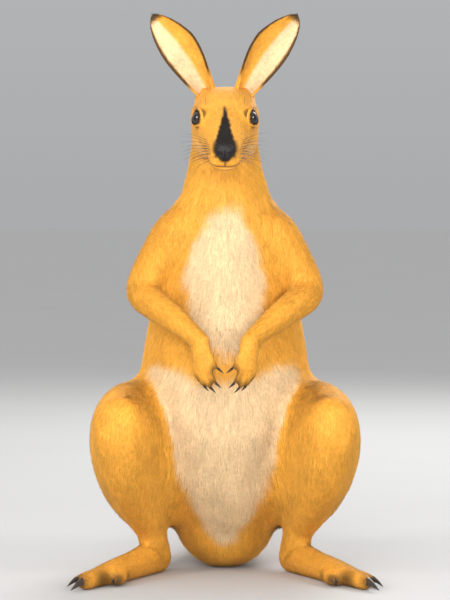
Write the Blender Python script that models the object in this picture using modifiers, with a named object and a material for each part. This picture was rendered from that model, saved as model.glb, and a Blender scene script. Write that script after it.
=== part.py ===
"""Agile wallaby, life size, sitting up on its haunches with its hands together.

The animal faces -Y and +X is its left. It is modelled whole, as lofted forms that are
remeshed into one body, and then parted with thin cuts into the parts a person would name.
Every size is in metres, out to the tips of the coat. Run it with
blender --background --python part.py.
"""

import math
from collections import namedtuple

import bmesh
import bpy
import numpy as np
from mathutils import Matrix, Vector

# ---------------------------------------------------------------- driving dimensions

GAP = 0.0006  # width of the cut between two parts
VOXEL = 0.0026  # grain of the remeshed body, before it is thinned out
HEAD_TRIANGLES = 930  # how far each remeshed form is thinned out
BODY_TRIANGLES = 1290
HAND_TRIANGLES = 240
FOOT_TRIANGLES = 250
REACH = 2.0  # size of the blocks that cut off all beyond a plane

HEAD_TILT = math.radians(25)  # how far the nose points below the horizon
HEAD_ORIGIN = Vector((0, -0.002, 0.584))  # back of the skull, on the head's axis

EYE_PLACE = (0.0755, 0.0266, 0.0125)  # along, out and up in the head's frame
EYE_RADIUS = 0.0125

EAR_ROOT = (0.0080, 0.0240, 0.0255)
EAR_LENGTH = 0.108
EAR_HALF_WIDTH = 0.0285
EAR_SPLAY = math.radians(36)  # how far each ear leans out from the vertical
EAR_TURN = math.radians(22)  # how far its opening turns out from straight ahead
EAR_THICK = 0.0034

FOOT_SPLAY = math.radians(25)  # how far each hind foot turns out
HEEL = Vector((0.079, 0.066, 0.0))

SHOULDER = Vector((0.056, -0.004, 0.428))
ELBOW = Vector((0.104, -0.012, 0.352))
WRIST = Vector((0.0300, -0.108, 0.298))
HAND_ALONG = Vector((-0.14, -0.12, -0.98)).normalized()  # the hands hang from the wrists
HAND_ACROSS = Vector((0.80, 0.60, 0))  # from the first digit to the fifth

# One cross section of a lofted form: its centre, its half width along the form's own
# across direction, and its depth to either side of the centre at right angles to that.
Section = namedtuple("Section", "x y z wide plus minus")

# Trunk and neck, from the seat up to the back of the head: plus is the back, minus the
# belly, chest and throat.
TRUNK = [
    Section(0, 0.130, 0.067, 0.070, 0.074, 0.086),  # seat
    Section(0, 0.116, 0.112, 0.095, 0.096, 0.112),  # pelvis
    Section(0, 0.092, 0.176, 0.108, 0.104, 0.132),  # loin
    Section(0, 0.069, 0.242, 0.108, 0.104, 0.137),  # belly
    Section(0, 0.051, 0.308, 0.098, 0.099, 0.115),  # midriff
    Section(0, 0.034, 0.370, 0.084, 0.089, 0.100),  # chest
    Section(0, 0.014, 0.424, 0.072, 0.076, 0.086),  # shoulders
    Section(0, -0.003, 0.470, 0.057, 0.061, 0.061),  # base of the neck
    Section(0, -0.010, 0.512, 0.046, 0.051, 0.042),  # neck
    Section(0, -0.010, 0.556, 0.042, 0.049, 0.038),  # nape
]

# Tail, from inside the pelvis to its tip: it lies on the floor and bends a little to the
# animal's left.
TAIL = [
    Section(0.000, 0.120, 0.110, 0.084, 0.090, 0.086),  # in the pelvis
    Section(0.000, 0.200, 0.078, 0.070, 0.074, 0.076),  # root
    Section(0.002, 0.272, 0.048, 0.049, 0.052, 0.0492),
    Section(0.008, 0.370, 0.0335, 0.035, 0.036, 0.0347),  # middle
    Section(0.022, 0.500, 0.0265, 0.0275, 0.028, 0.0277),
    Section(0.042, 0.640, 0.0200, 0.0210, 0.021, 0.0212),
    Section(0.060, 0.760, 0.0150, 0.0160, 0.016, 0.0162),
    Section(0.071, 0.836, 0.0112, 0.0120, 0.012, 0.0124),  # tip
]

# Left thigh, from the hip to the knee: across is sideways, plus is its upper side.
THIGH = [
    Section(0.052, 0.158, 0.128, 0.040, 0.062, 0.062),  # rump
    Section(0.086, 0.104, 0.140, 0.062, 0.096, 0.096),  # hip
    Section(0.107, 0.038, 0.155, 0.059, 0.092, 0.092),  # thigh
    Section(0.121, -0.026, 0.176, 0.048, 0.070, 0.070),
    Section(0.127, -0.070, 0.190, 0.036, 0.044, 0.044),  # knee
]

# Left shank, from the knee down to the ankle: plus is the shin.
SHANK = [
    Section(0.127, -0.064, 0.186, 0.035, 0.042, 0.040),  # knee
    Section(0.121, -0.044, 0.138, 0.032, 0.034, 0.046),  # calf
    Section(0.107, -0.004, 0.090, 0.025, 0.025, 0.036),
    Section(0.092, 0.032, 0.054, 0.019, 0.020, 0.026),  # above the ankle
    Section(0.081, 0.056, 0.024, 0.016, 0.018, 0.018),  # heel
]

UPPER_ARM = [
    Section(0.036, -0.002, 0.450, 0.024, 0.040, 0.038),  # shoulder blade
    Section(*SHOULDER, 0.032, 0.042, 0.040),
    Section(0.083, -0.006, 0.391, 0.028, 0.032, 0.031),
    Section(*ELBOW, 0.021, 0.023, 0.022),
    Section(0.104, -0.020, 0.339, 0.018, 0.020, 0.018),
]

FOREARM = [
    Section(0.107, 0.002, 0.359, 0.0175, 0.0185, 0.0180),
    Section(*ELBOW, 0.0195, 0.0205, 0.0200),
    Section(0.084, -0.044, 0.338, 0.0195, 0.0205, 0.0205),
    Section(0.054, -0.080, 0.317, 0.0155, 0.0165, 0.0165),
    Section(*WRIST, 0.0120, 0.0125, 0.0120),
]

# Sizes of the hind foot's forms: distance from the heel, how far to the outer side, height,
# half width, and depth above and below.
FootSection = namedtuple("FootSection", "along out up wide top bottom")
METATARSUS = [
    FootSection(0.006, 0.0000, 0.0200, 0.0150, 0.0185, 0.0212),  # heel
    FootSection(0.036, 0.0000, 0.0200, 0.0165, 0.0205, 0.0212),
    FootSection(0.084, 0.0010, 0.0165, 0.0172, 0.0170, 0.0177),
    FootSection(0.124, 0.0025, 0.0145, 0.0192, 0.0145, 0.0157),
    FootSection(0.148, 0.0035, 0.0125, 0.0200, 0.0120, 0.0137),  # ball
]
TOES = {
    "fourth": [
        FootSection(0.138, 0.0030, 0.0125, 0.0125, 0.0120, 0.0137),
        FootSection(0.172, 0.0040, 0.0110, 0.0110, 0.0110, 0.0122),
        FootSection(0.200, 0.0045, 0.0095, 0.0095, 0.0095, 0.0107),
    ],
    "fifth": [
        FootSection(0.128, 0.0120, 0.0110, 0.0085, 0.0095, 0.0122),
        FootSection(0.154, 0.0205, 0.0095, 0.0085, 0.0090, 0.0107),
        FootSection(0.176, 0.0245, 0.0080, 0.0070, 0.0075, 0.0092),
    ],
    "second_third": [
        FootSection(0.126, -0.0110, 0.0120, 0.0070, 0.0080, 0.0100),
        FootSection(0.148, -0.0175, 0.0095, 0.0065, 0.0065, 0.0080),
        FootSection(0.163, -0.0195, 0.0080, 0.0055, 0.0055, 0.0070),
    ],
}

# Claws: where each starts and ends on the foot, as along, out and up, and its root's radius.
FOOT_CLAWS = {
    "fourth": ((0.1990, 0.0045, 0.0110), (0.2330, 0.0055, 0.0038), 0.0056),
    "fifth": ((0.1760, 0.0245, 0.0095), (0.2000, 0.0285, 0.0030), 0.0040),
    "third": ((0.1610, -0.0170, 0.0085), (0.1760, -0.0175, 0.0045), 0.0021),
    "second": ((0.1610, -0.0220, 0.0085), (0.1750, -0.0235, 0.0045), 0.0021),
}

# Digits of the hand, first to fifth: how far across the palm, length, and turn.
Digit = namedtuple("Digit", "across start length turn")
DIGITS = [
    Digit(-0.0098, 0.0170, 0.0190, math.radians(-17)),
    Digit(-0.0062, 0.0280, 0.0240, math.radians(-7)),
    Digit(-0.0004, 0.0300, 0.0265, math.radians(0)),
    Digit(0.0056, 0.0285, 0.0245, math.radians(7)),
    Digit(0.0100, 0.0240, 0.0200, math.radians(15)),
]
DIGIT_RADIUS = 0.0044
HAND_CLAW = 0.0130

# The head's sections hold the distance along its axis, the half width, and the height
# above and the depth below the axis.
HeadSection = namedtuple("HeadSection", "along wide top bottom")
HEAD = [
    HeadSection(0.002, 0.0320, 0.0255, 0.034),  # back of the skull
    HeadSection(0.022, 0.0400, 0.0340, 0.044),  # braincase
    HeadSection(0.046, 0.0425, 0.0372, 0.0480),  # brow and corner of the jaw
    HeadSection(0.070, 0.0380, 0.0330, 0.0455),  # eyes and cheeks
    HeadSection(0.092, 0.0298, 0.0275, 0.0390),
    HeadSection(0.114, 0.0235, 0.0230, 0.0325),  # muzzle
    HeadSection(0.134, 0.0200, 0.0200, 0.0275),
    HeadSection(0.149, 0.0172, 0.0172, 0.0230),  # behind the nose
]

NOSE_PLACE = (0.1600, 0.0, 0.0068)
NOSE_SIZE = (0.0125, 0.0125, 0.0112)
NOSTRIL = (0.1620, 0.0078, 0.0030)
NOSTRIL_SIZE = (0.0022, 0.0060, 0.0032)
MOUTH_CORNER = (0.0980, 0.0, -0.0170)
MOUTH_RISE = math.radians(4)  # how much the mouth rises to its front, against the head's axis

# Cuts through the body: a point on the plane, in Y and Z, and the way it faces.
Cut = namedtuple("Cut", "y z facing_y facing_z")
HEAD_CUT = Cut(-0.020, 0.538, -0.60, 0.80)  # from the throat to the nape
TRUNK_CUTS = {
    "tail_tip": Cut(0.660, 0.020, 1.0, 0.0),
    "tail_middle": Cut(0.440, 0.030, 1.0, -0.05),
    "tail_root": Cut(0.226, 0.070, 0.88, -0.47),
    "neck": Cut(0.040, 0.478, 0.0, 1.0),
    "chest": Cut(0.050, 0.316, -0.24, 0.97),
}
LIMB_MARGINS = {"upper_arm": 0.005, "shank": 0.007, "thigh": 0.009}  # how far the cuts stand out

COAT = (0.72, 0.42, 0.15)
PALE_COAT = (0.86, 0.66, 0.42)
DARK_SKIN = (0.03, 0.022, 0.018)
HORN = (0.035, 0.028, 0.022)

# ---------------------------------------------------------------- small tools


def clear_scene():
    for thing in list(bpy.data.objects):
        bpy.data.objects.remove(thing)


def new_collection(name):
    collection = bpy.data.collections.new(name)
    bpy.context.scene.collection.children.link(collection)
    return collection


def new_object(name, mesh, collection):
    thing = bpy.data.objects.new(name, mesh)
    collection.objects.link(thing)
    return thing


def made_from(form, name, collection):
    """An object that holds the form's faces; the form is freed."""
    mesh = bpy.data.meshes.new(name)
    form.to_mesh(mesh)
    form.free()
    return new_object(name, mesh, collection)


def material(name, colour, roughness):
    made = bpy.data.materials.new(name)
    made.use_nodes = True
    shader = made.node_tree.nodes["Principled BSDF"]
    shader.inputs["Base Color"].default_value = (*colour, 1)
    shader.inputs["Roughness"].default_value = roughness
    shader.inputs["Metallic"].default_value = 0
    return made


def head_point(along, out, up):
    """A place in the head's frame: along its axis to the nose, out to the left, and up."""
    forward = Vector((0, -math.cos(HEAD_TILT), -math.sin(HEAD_TILT)))
    upward = Vector((0, -math.sin(HEAD_TILT), math.cos(HEAD_TILT)))
    return HEAD_ORIGIN + forward * along + upward * up + Vector((out, 0, 0))


def smooth_rows(rows, count):
    """count rows of numbers on a smooth curve through the rows, whose first three are a place."""
    rows = np.array(rows, float)
    steps = np.linalg.norm(np.diff(rows[:, :3], axis=0), axis=1)
    at = np.concatenate([[0], np.cumsum(steps)])
    slopes = np.gradient(rows, at, axis=0)
    wanted = np.linspace(0, at[-1], count)
    i = np.clip(np.searchsorted(at, wanted, side="right") - 1, 0, len(at) - 2)
    span = (at[i + 1] - at[i])[:, None]
    t = (wanted - at[i])[:, None] / span
    return (
        rows[i] * (2 * t**3 - 3 * t**2 + 1)
        + slopes[i] * span * (t**3 - 2 * t**2 + t)
        + rows[i + 1] * (3 * t**2 - 2 * t**3)
        + slopes[i + 1] * span * (t**3 - t**2)
    )


def loft(name, sections, collection, across=(1, 0, 0), rings=20, sides=24, caps=5, blunt=(0.8, 0.8)):
    """A closed form through the sections, with round ends that reach blunt times their size."""
    rows = smooth_rows(sections, rings)
    places = rows[:, :3]
    along = np.gradient(places, axis=0)
    along /= np.linalg.norm(along, axis=1)[:, None]
    side = np.array(across, float) - along * (along @ np.array(across, float))[:, None]
    side /= np.linalg.norm(side, axis=1)[:, None]
    depth = np.cross(along, side)
    turn = np.linspace(0, 2 * math.pi, sides, endpoint=False)
    cosine, sine = np.cos(turn), np.sin(turn)

    def ring(i, shrink, reach):
        wide, plus, minus = rows[i, 3:] * shrink
        deep = np.where(sine > 0, plus, minus) * sine
        centre = places[i] + along[i] * reach
        return centre + np.outer(cosine * wide, side[i]) + np.outer(deep, depth[i])

    shells = []
    for end, i, sign in ((0, 0, -1), (1, rings - 1, 1)):
        size = rows[i, 3:].mean() * blunt[end]
        arc = [math.pi / 2 * k / caps for k in range(1, caps)]
        cap = [ring(i, math.cos(a), sign * size * math.sin(a)) for a in arc]
        shells.append((cap, places[i] + along[i] * sign * size))
    body = [ring(i, 1, 0) for i in range(rings)]
    loops = shells[0][0][::-1] + body + shells[1][0]

    form = bmesh.new()
    made = [[form.verts.new(p) for p in loop] for loop in loops]
    for low, high in zip(made, made[1:]):
        for k in range(sides):
            n = (k + 1) % sides
            form.faces.new((low[k], low[n], high[n], high[k]))
    for loop, tip in ((made[0][::-1], shells[0][1]), (made[-1], shells[1][1])):
        point = form.verts.new(tip)
        for k in range(sides):
            form.faces.new((loop[k], loop[(k + 1) % sides], point))
    bmesh.ops.recalc_face_normals(form, faces=form.faces)
    return made_from(form, name, collection)


def ball(name, centre, radii, collection, turn=None, segments=20):
    form = bmesh.new()
    bmesh.ops.create_uvsphere(form, u_segments=segments, v_segments=segments // 2, radius=1)
    turn = turn or Matrix.Identity(4)
    place = Matrix.Translation(centre) @ turn @ Matrix.Diagonal((*radii, 1))
    bmesh.ops.transform(form, matrix=place, verts=form.verts)
    return made_from(form, name, collection)


def block(name, place, size, collection):
    """A box of the given three sizes, whose matrix tells its middle and how it is turned."""
    form = bmesh.new()
    bmesh.ops.create_cube(form, size=1, matrix=place @ Matrix.Diagonal((*size, 1)))
    return made_from(form, name, collection)


def beyond(point, normal, collection):
    """A block that fills the space beyond a plane, on the side its normal points to."""
    normal = Vector(normal).normalized()
    turn = normal.to_track_quat("Z", "Y").to_matrix().to_4x4()
    place = Matrix.Translation(Vector(point) + normal * REACH / 2) @ turn
    return block("beyond", place, [REACH] * 3, collection)


def head_turn():
    """Turns a form so that its Y runs back along the head's axis and its Z is the head's up."""
    return Matrix.Rotation(HEAD_TILT, 4, "X")


def mirrored(source, name, collection):
    """A copy of the object on the other side of X = 0."""
    form = bmesh.new()
    form.from_mesh(source.data)
    bmesh.ops.scale(form, vec=(-1, 1, 1), verts=form.verts)
    bmesh.ops.reverse_faces(form, faces=form.faces)
    return made_from(form, name, collection)


def apply_modifiers(thing):
    """Replaces the object's mesh with the one its modifiers make."""
    graph = bpy.context.evaluated_depsgraph_get()
    mesh = bpy.data.meshes.new_from_object(thing.evaluated_get(graph))
    thing.modifiers.clear()
    thing.data = mesh
    return thing


def joined(name, things, collection):
    """One object that holds the meshes of several, which are removed."""
    form = bmesh.new()
    for thing in things:
        form.from_mesh(thing.data)
        bpy.data.objects.remove(thing)
    return made_from(form, name, collection)


def fused(thing, voxel, smoothing, keep=None):
    """Remeshes overlapping forms into one skin and blends their creases."""
    remesh = thing.modifiers.new("Remesh", "REMESH")
    remesh.mode = "VOXEL"
    remesh.voxel_size = voxel
    apply_modifiers(thing)
    smooth = thing.modifiers.new("Smooth", "SMOOTH")
    smooth.iterations = smoothing
    if keep:
        group = thing.vertex_groups.new(name="soft")
        for vertex in thing.data.vertices:
            group.add([vertex.index], keep(vertex.co), "REPLACE")
        smooth.vertex_group = group.name
    apply_modifiers(thing)
    thing.vertex_groups.clear()
    return thing


def thinned(thing, triangles):
    """Thins the mesh out to about so many triangles."""
    faces = sum(len(p.vertices) - 2 for p in thing.data.polygons)
    thin = thing.modifiers.new("Decimate", "DECIMATE")
    thin.ratio = triangles / faces
    return apply_modifiers(thing)


def boolean(thing, other, operation):
    cut = thing.modifiers.new("Cut", "BOOLEAN")
    cut.operation = operation
    cut.object = other
    cut.solver = "EXACT"
    return apply_modifiers(thing)


def trimmed(thing, point, normal):
    """Cuts off all that lies beyond the plane, on the side that its normal points to."""
    form = bmesh.new()
    form.from_mesh(thing.data)
    everything = form.verts[:] + form.edges[:] + form.faces[:]
    cut = bmesh.ops.bisect_plane(
        form, geom=everything, dist=1e-7, plane_co=point, plane_no=normal, clear_outer=True
    )
    rim = [e for e in cut["geom_cut"] if isinstance(e, bmesh.types.BMEdge)]
    bmesh.ops.holes_fill(form, edges=rim, sides=0)
    bmesh.ops.triangulate(form, faces=[f for f in form.faces if len(f.verts) > 4])
    bmesh.ops.recalc_face_normals(form, faces=form.faces)
    form.to_mesh(thing.data)
    form.free()
    return thing


def plane(cut):
    """A point on the cut's plane and the way it faces."""
    return Vector((0, cut.y, cut.z)), Vector((0, cut.facing_y, cut.facing_z)).normalized()


def copy_of(thing, name, collection):
    return new_object(name, thing.data.copy(), collection)


def cut_apart(near, far, point, normal):
    """Trims two objects to the two sides of a plane, with the gap between them."""
    trimmed(near, point - normal * GAP / 2, normal)
    trimmed(far, point + normal * GAP / 2, -normal)


def swollen(thing, by, name, collection):
    """A copy of the object that stands out by so much all round, to cut a neighbour with."""
    copy = copy_of(thing, name, collection)
    displace = copy.modifiers.new("Swell", "DISPLACE")
    displace.strength = by
    displace.mid_level = 0
    return apply_modifiers(copy)


def taken_out(thing, region, name, collection, kept=None):
    """Parts the object at a closed region: what lies inside it, or inside kept, is a new object."""
    wider = swollen(region, GAP, region.name + "_gap", region.users_collection[0])
    inside = copy_of(thing, name, collection)
    boolean(inside, kept or region, "INTERSECT")
    boolean(thing, wider, "DIFFERENCE")
    return inside


# ---------------------------------------------------------------- the flesh


def build_head(scratch):
    """The skull's loft with its cheeks, brows, lips and ear roots, before they are fused."""
    sections = []
    for section in HEAD:
        middle = head_point(section.along, 0, 0)
        sections.append(Section(*middle, section.wide, section.top, section.bottom))
    forms = [loft("skull", sections, scratch, rings=26, sides=32, blunt=(0.7, 0.62))]
    # Name, place in the head's frame, and size out, along and up.
    swellings = [
        ("cheek", (0.060, 0.0200, -0.0210), (0.0205, 0.0290, 0.0240)),
        ("brow", (0.0660, 0.0240, 0.0170), (0.0130, 0.0200, 0.0125)),
        ("orbit", (0.0725, 0.0230, 0.0108), (0.0165, 0.0195, 0.0160)),
        ("lip", (0.1400, 0.0085, -0.0095), (0.0118, 0.0195, 0.0125)),
        ("ear_root", (0.0040, 0.0230, 0.0120), (0.0165, 0.0190, 0.0185)),
    ]
    for name, place, size in swellings:
        left = ball(name, head_point(*place), size, scratch, head_turn())
        forms += [left, mirrored(left, name + "_right", scratch)]
    return forms


def soft_share(place):
    """How much of the smoothing a place gets: less on the face, the arms and the thin tail."""
    ahead = (head_point(1, 0, 0) - HEAD_ORIGIN).dot(place - HEAD_ORIGIN)
    above = (head_point(0, 0, 1) - HEAD_ORIGIN).dot(place - HEAD_ORIGIN)
    face = np.interp(ahead, (0.015, 0.065), (0.60, 0.09))
    head = np.interp(above, (-0.070, -0.040), (1, face))
    tail = np.interp(place.y, (0.24, 0.40), (1, 0.12))
    limb = np.interp(place.z, (0.05, 0.13, 0.33, 0.41), (0.25, 1, 0.35, 1))
    outer = np.interp(abs(place.x), (0.060, 0.085), (1, limb))
    return min(head, tail, outer)


def build_body(scratch):
    """Trunk, neck, head, tail, thighs, shanks and upper arms as one fused mesh."""
    forms = build_head(scratch)
    forms.append(loft("trunk", TRUNK, scratch, rings=30, sides=36, blunt=(0.92, 0.5)))
    forms.append(loft("tail", TAIL, scratch, rings=40, blunt=(0.5, 1.3)))
    for name, sections in (("thigh", THIGH), ("shank", SHANK), ("upper_arm", UPPER_ARM)):
        left = loft(name, sections, scratch)
        forms += [left, mirrored(left, name + "_right", scratch)]
    body = joined("body", forms, scratch)
    fused(body, VOXEL, 130, soft_share)
    return body


def foot_point(along, out, up):
    """A place on the left hind foot: from the heel to the toes, to the outer side, and up."""
    toward = Vector((math.sin(FOOT_SPLAY), -math.cos(FOOT_SPLAY), 0))
    outward = Vector((math.cos(FOOT_SPLAY), math.sin(FOOT_SPLAY), 0))
    return HEEL + toward * along + outward * out + Vector((0, 0, up))


def build_foot(scratch):
    """The left hind foot: the long metatarsus and three toes, the inner one a double toe."""
    across = (math.cos(FOOT_SPLAY), math.sin(FOOT_SPLAY), 0)
    forms = []
    for name, rows in (("metatarsus", METATARSUS), *TOES.items()):
        sections = [
            Section(*foot_point(row.along, row.out, row.up), row.wide, row.top, row.bottom)
            for row in rows
        ]
        blunt = (0.8, 0.9) if name == "metatarsus" else (0.6, 0.9)
        forms.append(loft(name, sections, scratch, across, rings=14, sides=20, blunt=blunt))
    foot = joined("foot_left", forms, scratch)
    return thinned(fused(foot, 0.0016, 5), FOOT_TRIANGLES)


def hand_frame():
    """The left hand's along, across and back directions."""
    across = (HAND_ACROSS - HAND_ALONG * HAND_ACROSS.dot(HAND_ALONG)).normalized()
    return HAND_ALONG, across, HAND_ALONG.cross(across)


def digit_path(digit):
    """The places down one digit, from inside the palm to the tip, and its last direction."""
    along, across, back = hand_frame()
    heading = along * math.cos(digit.turn) + across * math.sin(digit.turn)
    place = WRIST + along * digit.start + across * digit.across
    path = []
    steps = 5
    for k in range(steps + 1):
        path.append(place.copy())
        bend = math.radians(-4 + 9 * k)  # the digits curl gently towards the palm
        place += (heading * math.cos(bend) - back * math.sin(bend)) * digit.length / steps
    return path, (path[-1] - path[-2]).normalized()


def build_hand(scratch):
    """The left hand: a palm that hangs from the wrist and five digits."""
    along, across, back = hand_frame()
    palm = [
        Section(*(WRIST - along * 0.008), 0.0118, 0.0112, 0.0112),
        Section(*(WRIST + along * 0.004), 0.0118, 0.0108, 0.0108),
        Section(*(WRIST + along * 0.018), 0.0132, 0.0092, 0.0088),
        Section(*(WRIST + along * 0.032), 0.0140, 0.0070, 0.0072),
    ]
    forms = [loft("palm", palm, scratch, across, rings=10, sides=20, blunt=(0.6, 0.8))]
    for digit in DIGITS:
        path, _ = digit_path(digit)
        radii = np.linspace(1.08, 0.80, len(path)) * DIGIT_RADIUS
        sections = [Section(*p, r, r, r) for p, r in zip(path, radii)]
        forms.append(loft("digit", sections, scratch, across, rings=8, sides=12))
    hand = joined("hand_left", forms, scratch)
    return thinned(fused(hand, 0.0011, 2), HAND_TRIANGLES)


def claw(name, path, radius, across, collection):
    """A curved horn cone along the path, a little deeper than it is wide."""
    shares = np.linspace(0, 1, len(path))
    sections = [
        Section(*p, radius * (1 - 0.90 * s**1.4), *[1.25 * radius * (1 - 0.90 * s**1.3)] * 2)
        for p, s in zip(path, shares)
    ]
    return loft(name, sections, collection, across, rings=3, sides=5, caps=2, blunt=(0.5, 0.9))


def build_hand_claws(collection):
    along, across, back = hand_frame()
    made = []
    for number, digit in enumerate(DIGITS, 1):
        path, heading = digit_path(digit)
        place = path[-1] - heading * 0.002
        points = []
        for k in range(5):
            points.append(place.copy())
            bend = math.radians(8 + 9 * k)
            place += (heading * math.cos(bend) - back * math.sin(bend)) * HAND_CLAW / 4
        made.append(claw(f"hand_claw_{number}_left", points, 0.0023, across, collection))
    return made


def build_foot_claws(collection):
    across = (math.cos(FOOT_SPLAY), math.sin(FOOT_SPLAY), 0)
    made = []
    for toe, (start, end, radius) in FOOT_CLAWS.items():
        first, last = foot_point(*start), foot_point(*end)
        points = []
        for share in np.linspace(0, 1, 5):
            rise = 0.0022 * math.sin(math.pi * share)  # the claw arches a little
            points.append(first.lerp(last, share) + Vector((0, 0, rise)))
        made.append(claw(f"foot_claw_{toe}_left", points, radius, across, collection))
    return made


def ear_width(share):
    """Half the ear's width, as a share of its widest, from root to tip."""
    widest = 0.44
    if share < widest:
        return 0.74 + 0.26 * math.sin(math.pi / 2 * share / widest)
    return (1 - ((share - widest) / (1 - widest)) ** 2.0) ** 0.6


def build_ear(collection):
    """The left ear: a cupped leaf that rolls into a funnel at its root, with some thickness."""
    along = Vector((math.sin(EAR_SPLAY), -0.06, math.cos(EAR_SPLAY))).normalized()
    facing = Vector((math.sin(EAR_TURN), -math.cos(EAR_TURN), 0.0))
    facing = (facing - along * facing.dot(along)).normalized()
    across = facing.cross(along)
    root = head_point(*EAR_ROOT) - along * 0.012
    rows, columns = 9, 6
    form = bmesh.new()
    grid = []
    for i in range(rows):
        share = 1 - (1 - i / rows) ** 1.5
        roll = math.radians(132 - 88 * min(1, share / 0.62) ** 0.8)  # funnel to open leaf
        half = EAR_HALF_WIDTH * ear_width(share)
        radius = half / roll
        lean = 0.006 * math.sin(math.pi * share)  # the tip curves a little inwards
        middle = root + along * (EAR_LENGTH + 0.012) * share + across * lean
        row = []
        for j in range(columns + 1):
            angle = roll * (2 * j / columns - 1)
            offset = across * math.sin(angle) + facing * (1 - math.cos(angle))
            row.append(form.verts.new(middle + offset * radius))
        grid.append(row)
    tip = form.verts.new(root + along * (EAR_LENGTH + 0.012))
    for j in range(columns):
        form.faces.new((grid[-1][j], grid[-1][j + 1], tip))
        for low, high in zip(grid, grid[1:]):
            form.faces.new((low[j], low[j + 1], high[j + 1], high[j]))
    ear = made_from(form, "ear_left", collection)
    solid = ear.modifiers.new("Solidify", "SOLIDIFY")
    solid.thickness = EAR_THICK
    solid.offset = 0
    solid.use_even_offset = False
    return apply_modifiers(ear)


def largest_piece(thing):
    """Keeps the largest connected piece of the mesh and drops the crumbs that a cut left."""
    form = bmesh.new()
    form.from_mesh(thing.data)
    unseen = set(form.verts)
    pieces = []
    while unseen:
        piece = {unseen.pop()}
        front = list(piece)
        while front:
            vertex = front.pop()
            near = {edge.other_vert(vertex) for edge in vertex.link_edges} - piece
            piece |= near
            front += near
        unseen -= piece
        pieces.append(piece)
    pieces.sort(key=len)
    crumbs = [v for piece in pieces[:-1] for v in piece]
    bmesh.ops.delete(form, geom=crumbs, context="VERTS")
    form.to_mesh(thing.data)
    form.free()
    return thing


def part_face(head, wallaby, scratch):
    """Parts the nose pad and the lower jaw from the head, and sets the eyes in their sockets."""
    pad = ball("pad", head_point(*NOSE_PLACE), NOSE_SIZE, scratch, head_turn(), segments=14)
    nose = taken_out(head, pad, "nose", wallaby)
    along, out, up = NOSTRIL
    for side in (1, -1):
        place = head_point(along, out * side, up)
        hole = ball("nostril", place, NOSTRIL_SIZE, scratch, head_turn(), segments=8)
        boolean(nose, hole, "DIFFERENCE")

    size = 0.09
    turn = Matrix.Rotation(HEAD_TILT - MOUTH_RISE, 4, "X")
    middle = Matrix.Translation((0, -size / 2, -size / 2))
    place = Matrix.Translation(head_point(*MOUTH_CORNER)) @ turn @ middle
    taken_out(head, block("jaw", place, [size] * 3, scratch), "lower_jaw", wallaby)

    along, out, up = EYE_PLACE
    for side, name in ((1, "eye_left"), (-1, "eye_right")):
        place = head_point(along, out * side, up)
        ball(name, place, [EYE_RADIUS] * 3, wallaby, head_turn(), segments=12)
        socket = ball("socket", place, [EYE_RADIUS + GAP] * 3, scratch, head_turn(), segments=12)
        boolean(head, socket, "DIFFERENCE")
    largest_piece(head)


def joint_way(before, joint, after):
    """The way that a cut faces halfway between the two lengths that meet at the joint."""
    return (joint - before).normalized() + (after - joint).normalized()


def part_limbs(body, wallaby, scratch):
    """Parts the upper arms, shanks and thighs from the body, on both sides."""
    hip, knee, heel = (Vector(section[:3]) for section in (THIGH[0], THIGH[-1], SHANK[-1]))
    for name, sections in (("upper_arm", UPPER_ARM), ("shank", SHANK), ("thigh", THIGH)):
        form = loft(name, sections, scratch, rings=6, sides=10, caps=2)
        region = swollen(form, LIMB_MARGINS[name], name + "_region", scratch)
        kept = copy_of(region, name + "_kept", scratch)
        if name == "upper_arm":
            boolean(kept, beyond(ELBOW, joint_way(SHOULDER, ELBOW, WRIST), scratch), "DIFFERENCE")
        if name == "shank":
            boolean(region, beyond(knee, -joint_way(hip, knee, heel), scratch), "DIFFERENCE")
            kept = region
        taken_out(body, region, name + "_left", wallaby, kept)
        right = mirrored(region, name + "_region_right", scratch)
        right_kept = mirrored(kept, name + "_kept_right", scratch)
        taken_out(body, right, name + "_right", wallaby, right_kept)
    largest_piece(body)


def build_limb_ends(wallaby, scratch):
    """The forearms, hands and feet with their claws, and the ears, on both sides."""
    forearm = loft("forearm_left", FOREARM, wallaby, rings=6, sides=12, caps=3)
    way = joint_way(SHOULDER, ELBOW, WRIST)
    trimmed(forearm, ELBOW + way.normalized() * GAP, -way)
    hand, foot = build_hand(wallaby), build_foot(wallaby)
    way = joint_way(ELBOW, WRIST, WRIST + HAND_ALONG)
    trimmed(forearm, WRIST, way)
    trimmed(hand, WRIST + way.normalized() * GAP, -way)
    boolean(foot, beyond((0, 0, 0), (0, 0, -1), scratch), "DIFFERENCE")
    left = [forearm, largest_piece(hand), foot, build_ear(wallaby)]
    for limb, claws in ((hand, build_hand_claws(wallaby)), (foot, build_foot_claws(wallaby))):
        sheath = swollen(limb, GAP, "sheath", scratch)
        left += [largest_piece(boolean(claw, sheath, "DIFFERENCE")) for claw in claws]
    for thing in left:
        mirrored(thing, thing.name.replace("_left", "_right"), wallaby)


def finish(wallaby):
    """Gives each part its material and sets the model down centred on the origin."""
    coat = material("coat", COAT, 0.9)
    pale_coat = material("pale coat", PALE_COAT, 0.9)
    skin = material("dark skin", DARK_SKIN, 0.5)
    horn = material("horn", HORN, 0.4)
    eye = material("eye", DARK_SKIN, 0.1)
    special = {"nose": skin, "lower_jaw": pale_coat, "chest": pale_coat, "abdomen": pale_coat}
    special |= {"eye_left": eye, "eye_right": eye}
    corners = np.array([v.co for thing in wallaby.objects for v in thing.data.vertices])
    low, high = corners.min(axis=0), corners.max(axis=0)
    shift = Matrix.Translation((-(low[0] + high[0]) / 2, -(low[1] + high[1]) / 2, -low[2]))
    for thing in wallaby.objects:
        look = horn if "claw" in thing.name else special.get(thing.name, coat)
        thing.data.materials.clear()
        thing.data.materials.append(look)
        thing.data.transform(shift)
        thing.data.shade_smooth()
        thing.data.set_sharp_from_angle(angle=math.radians(40))


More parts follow.
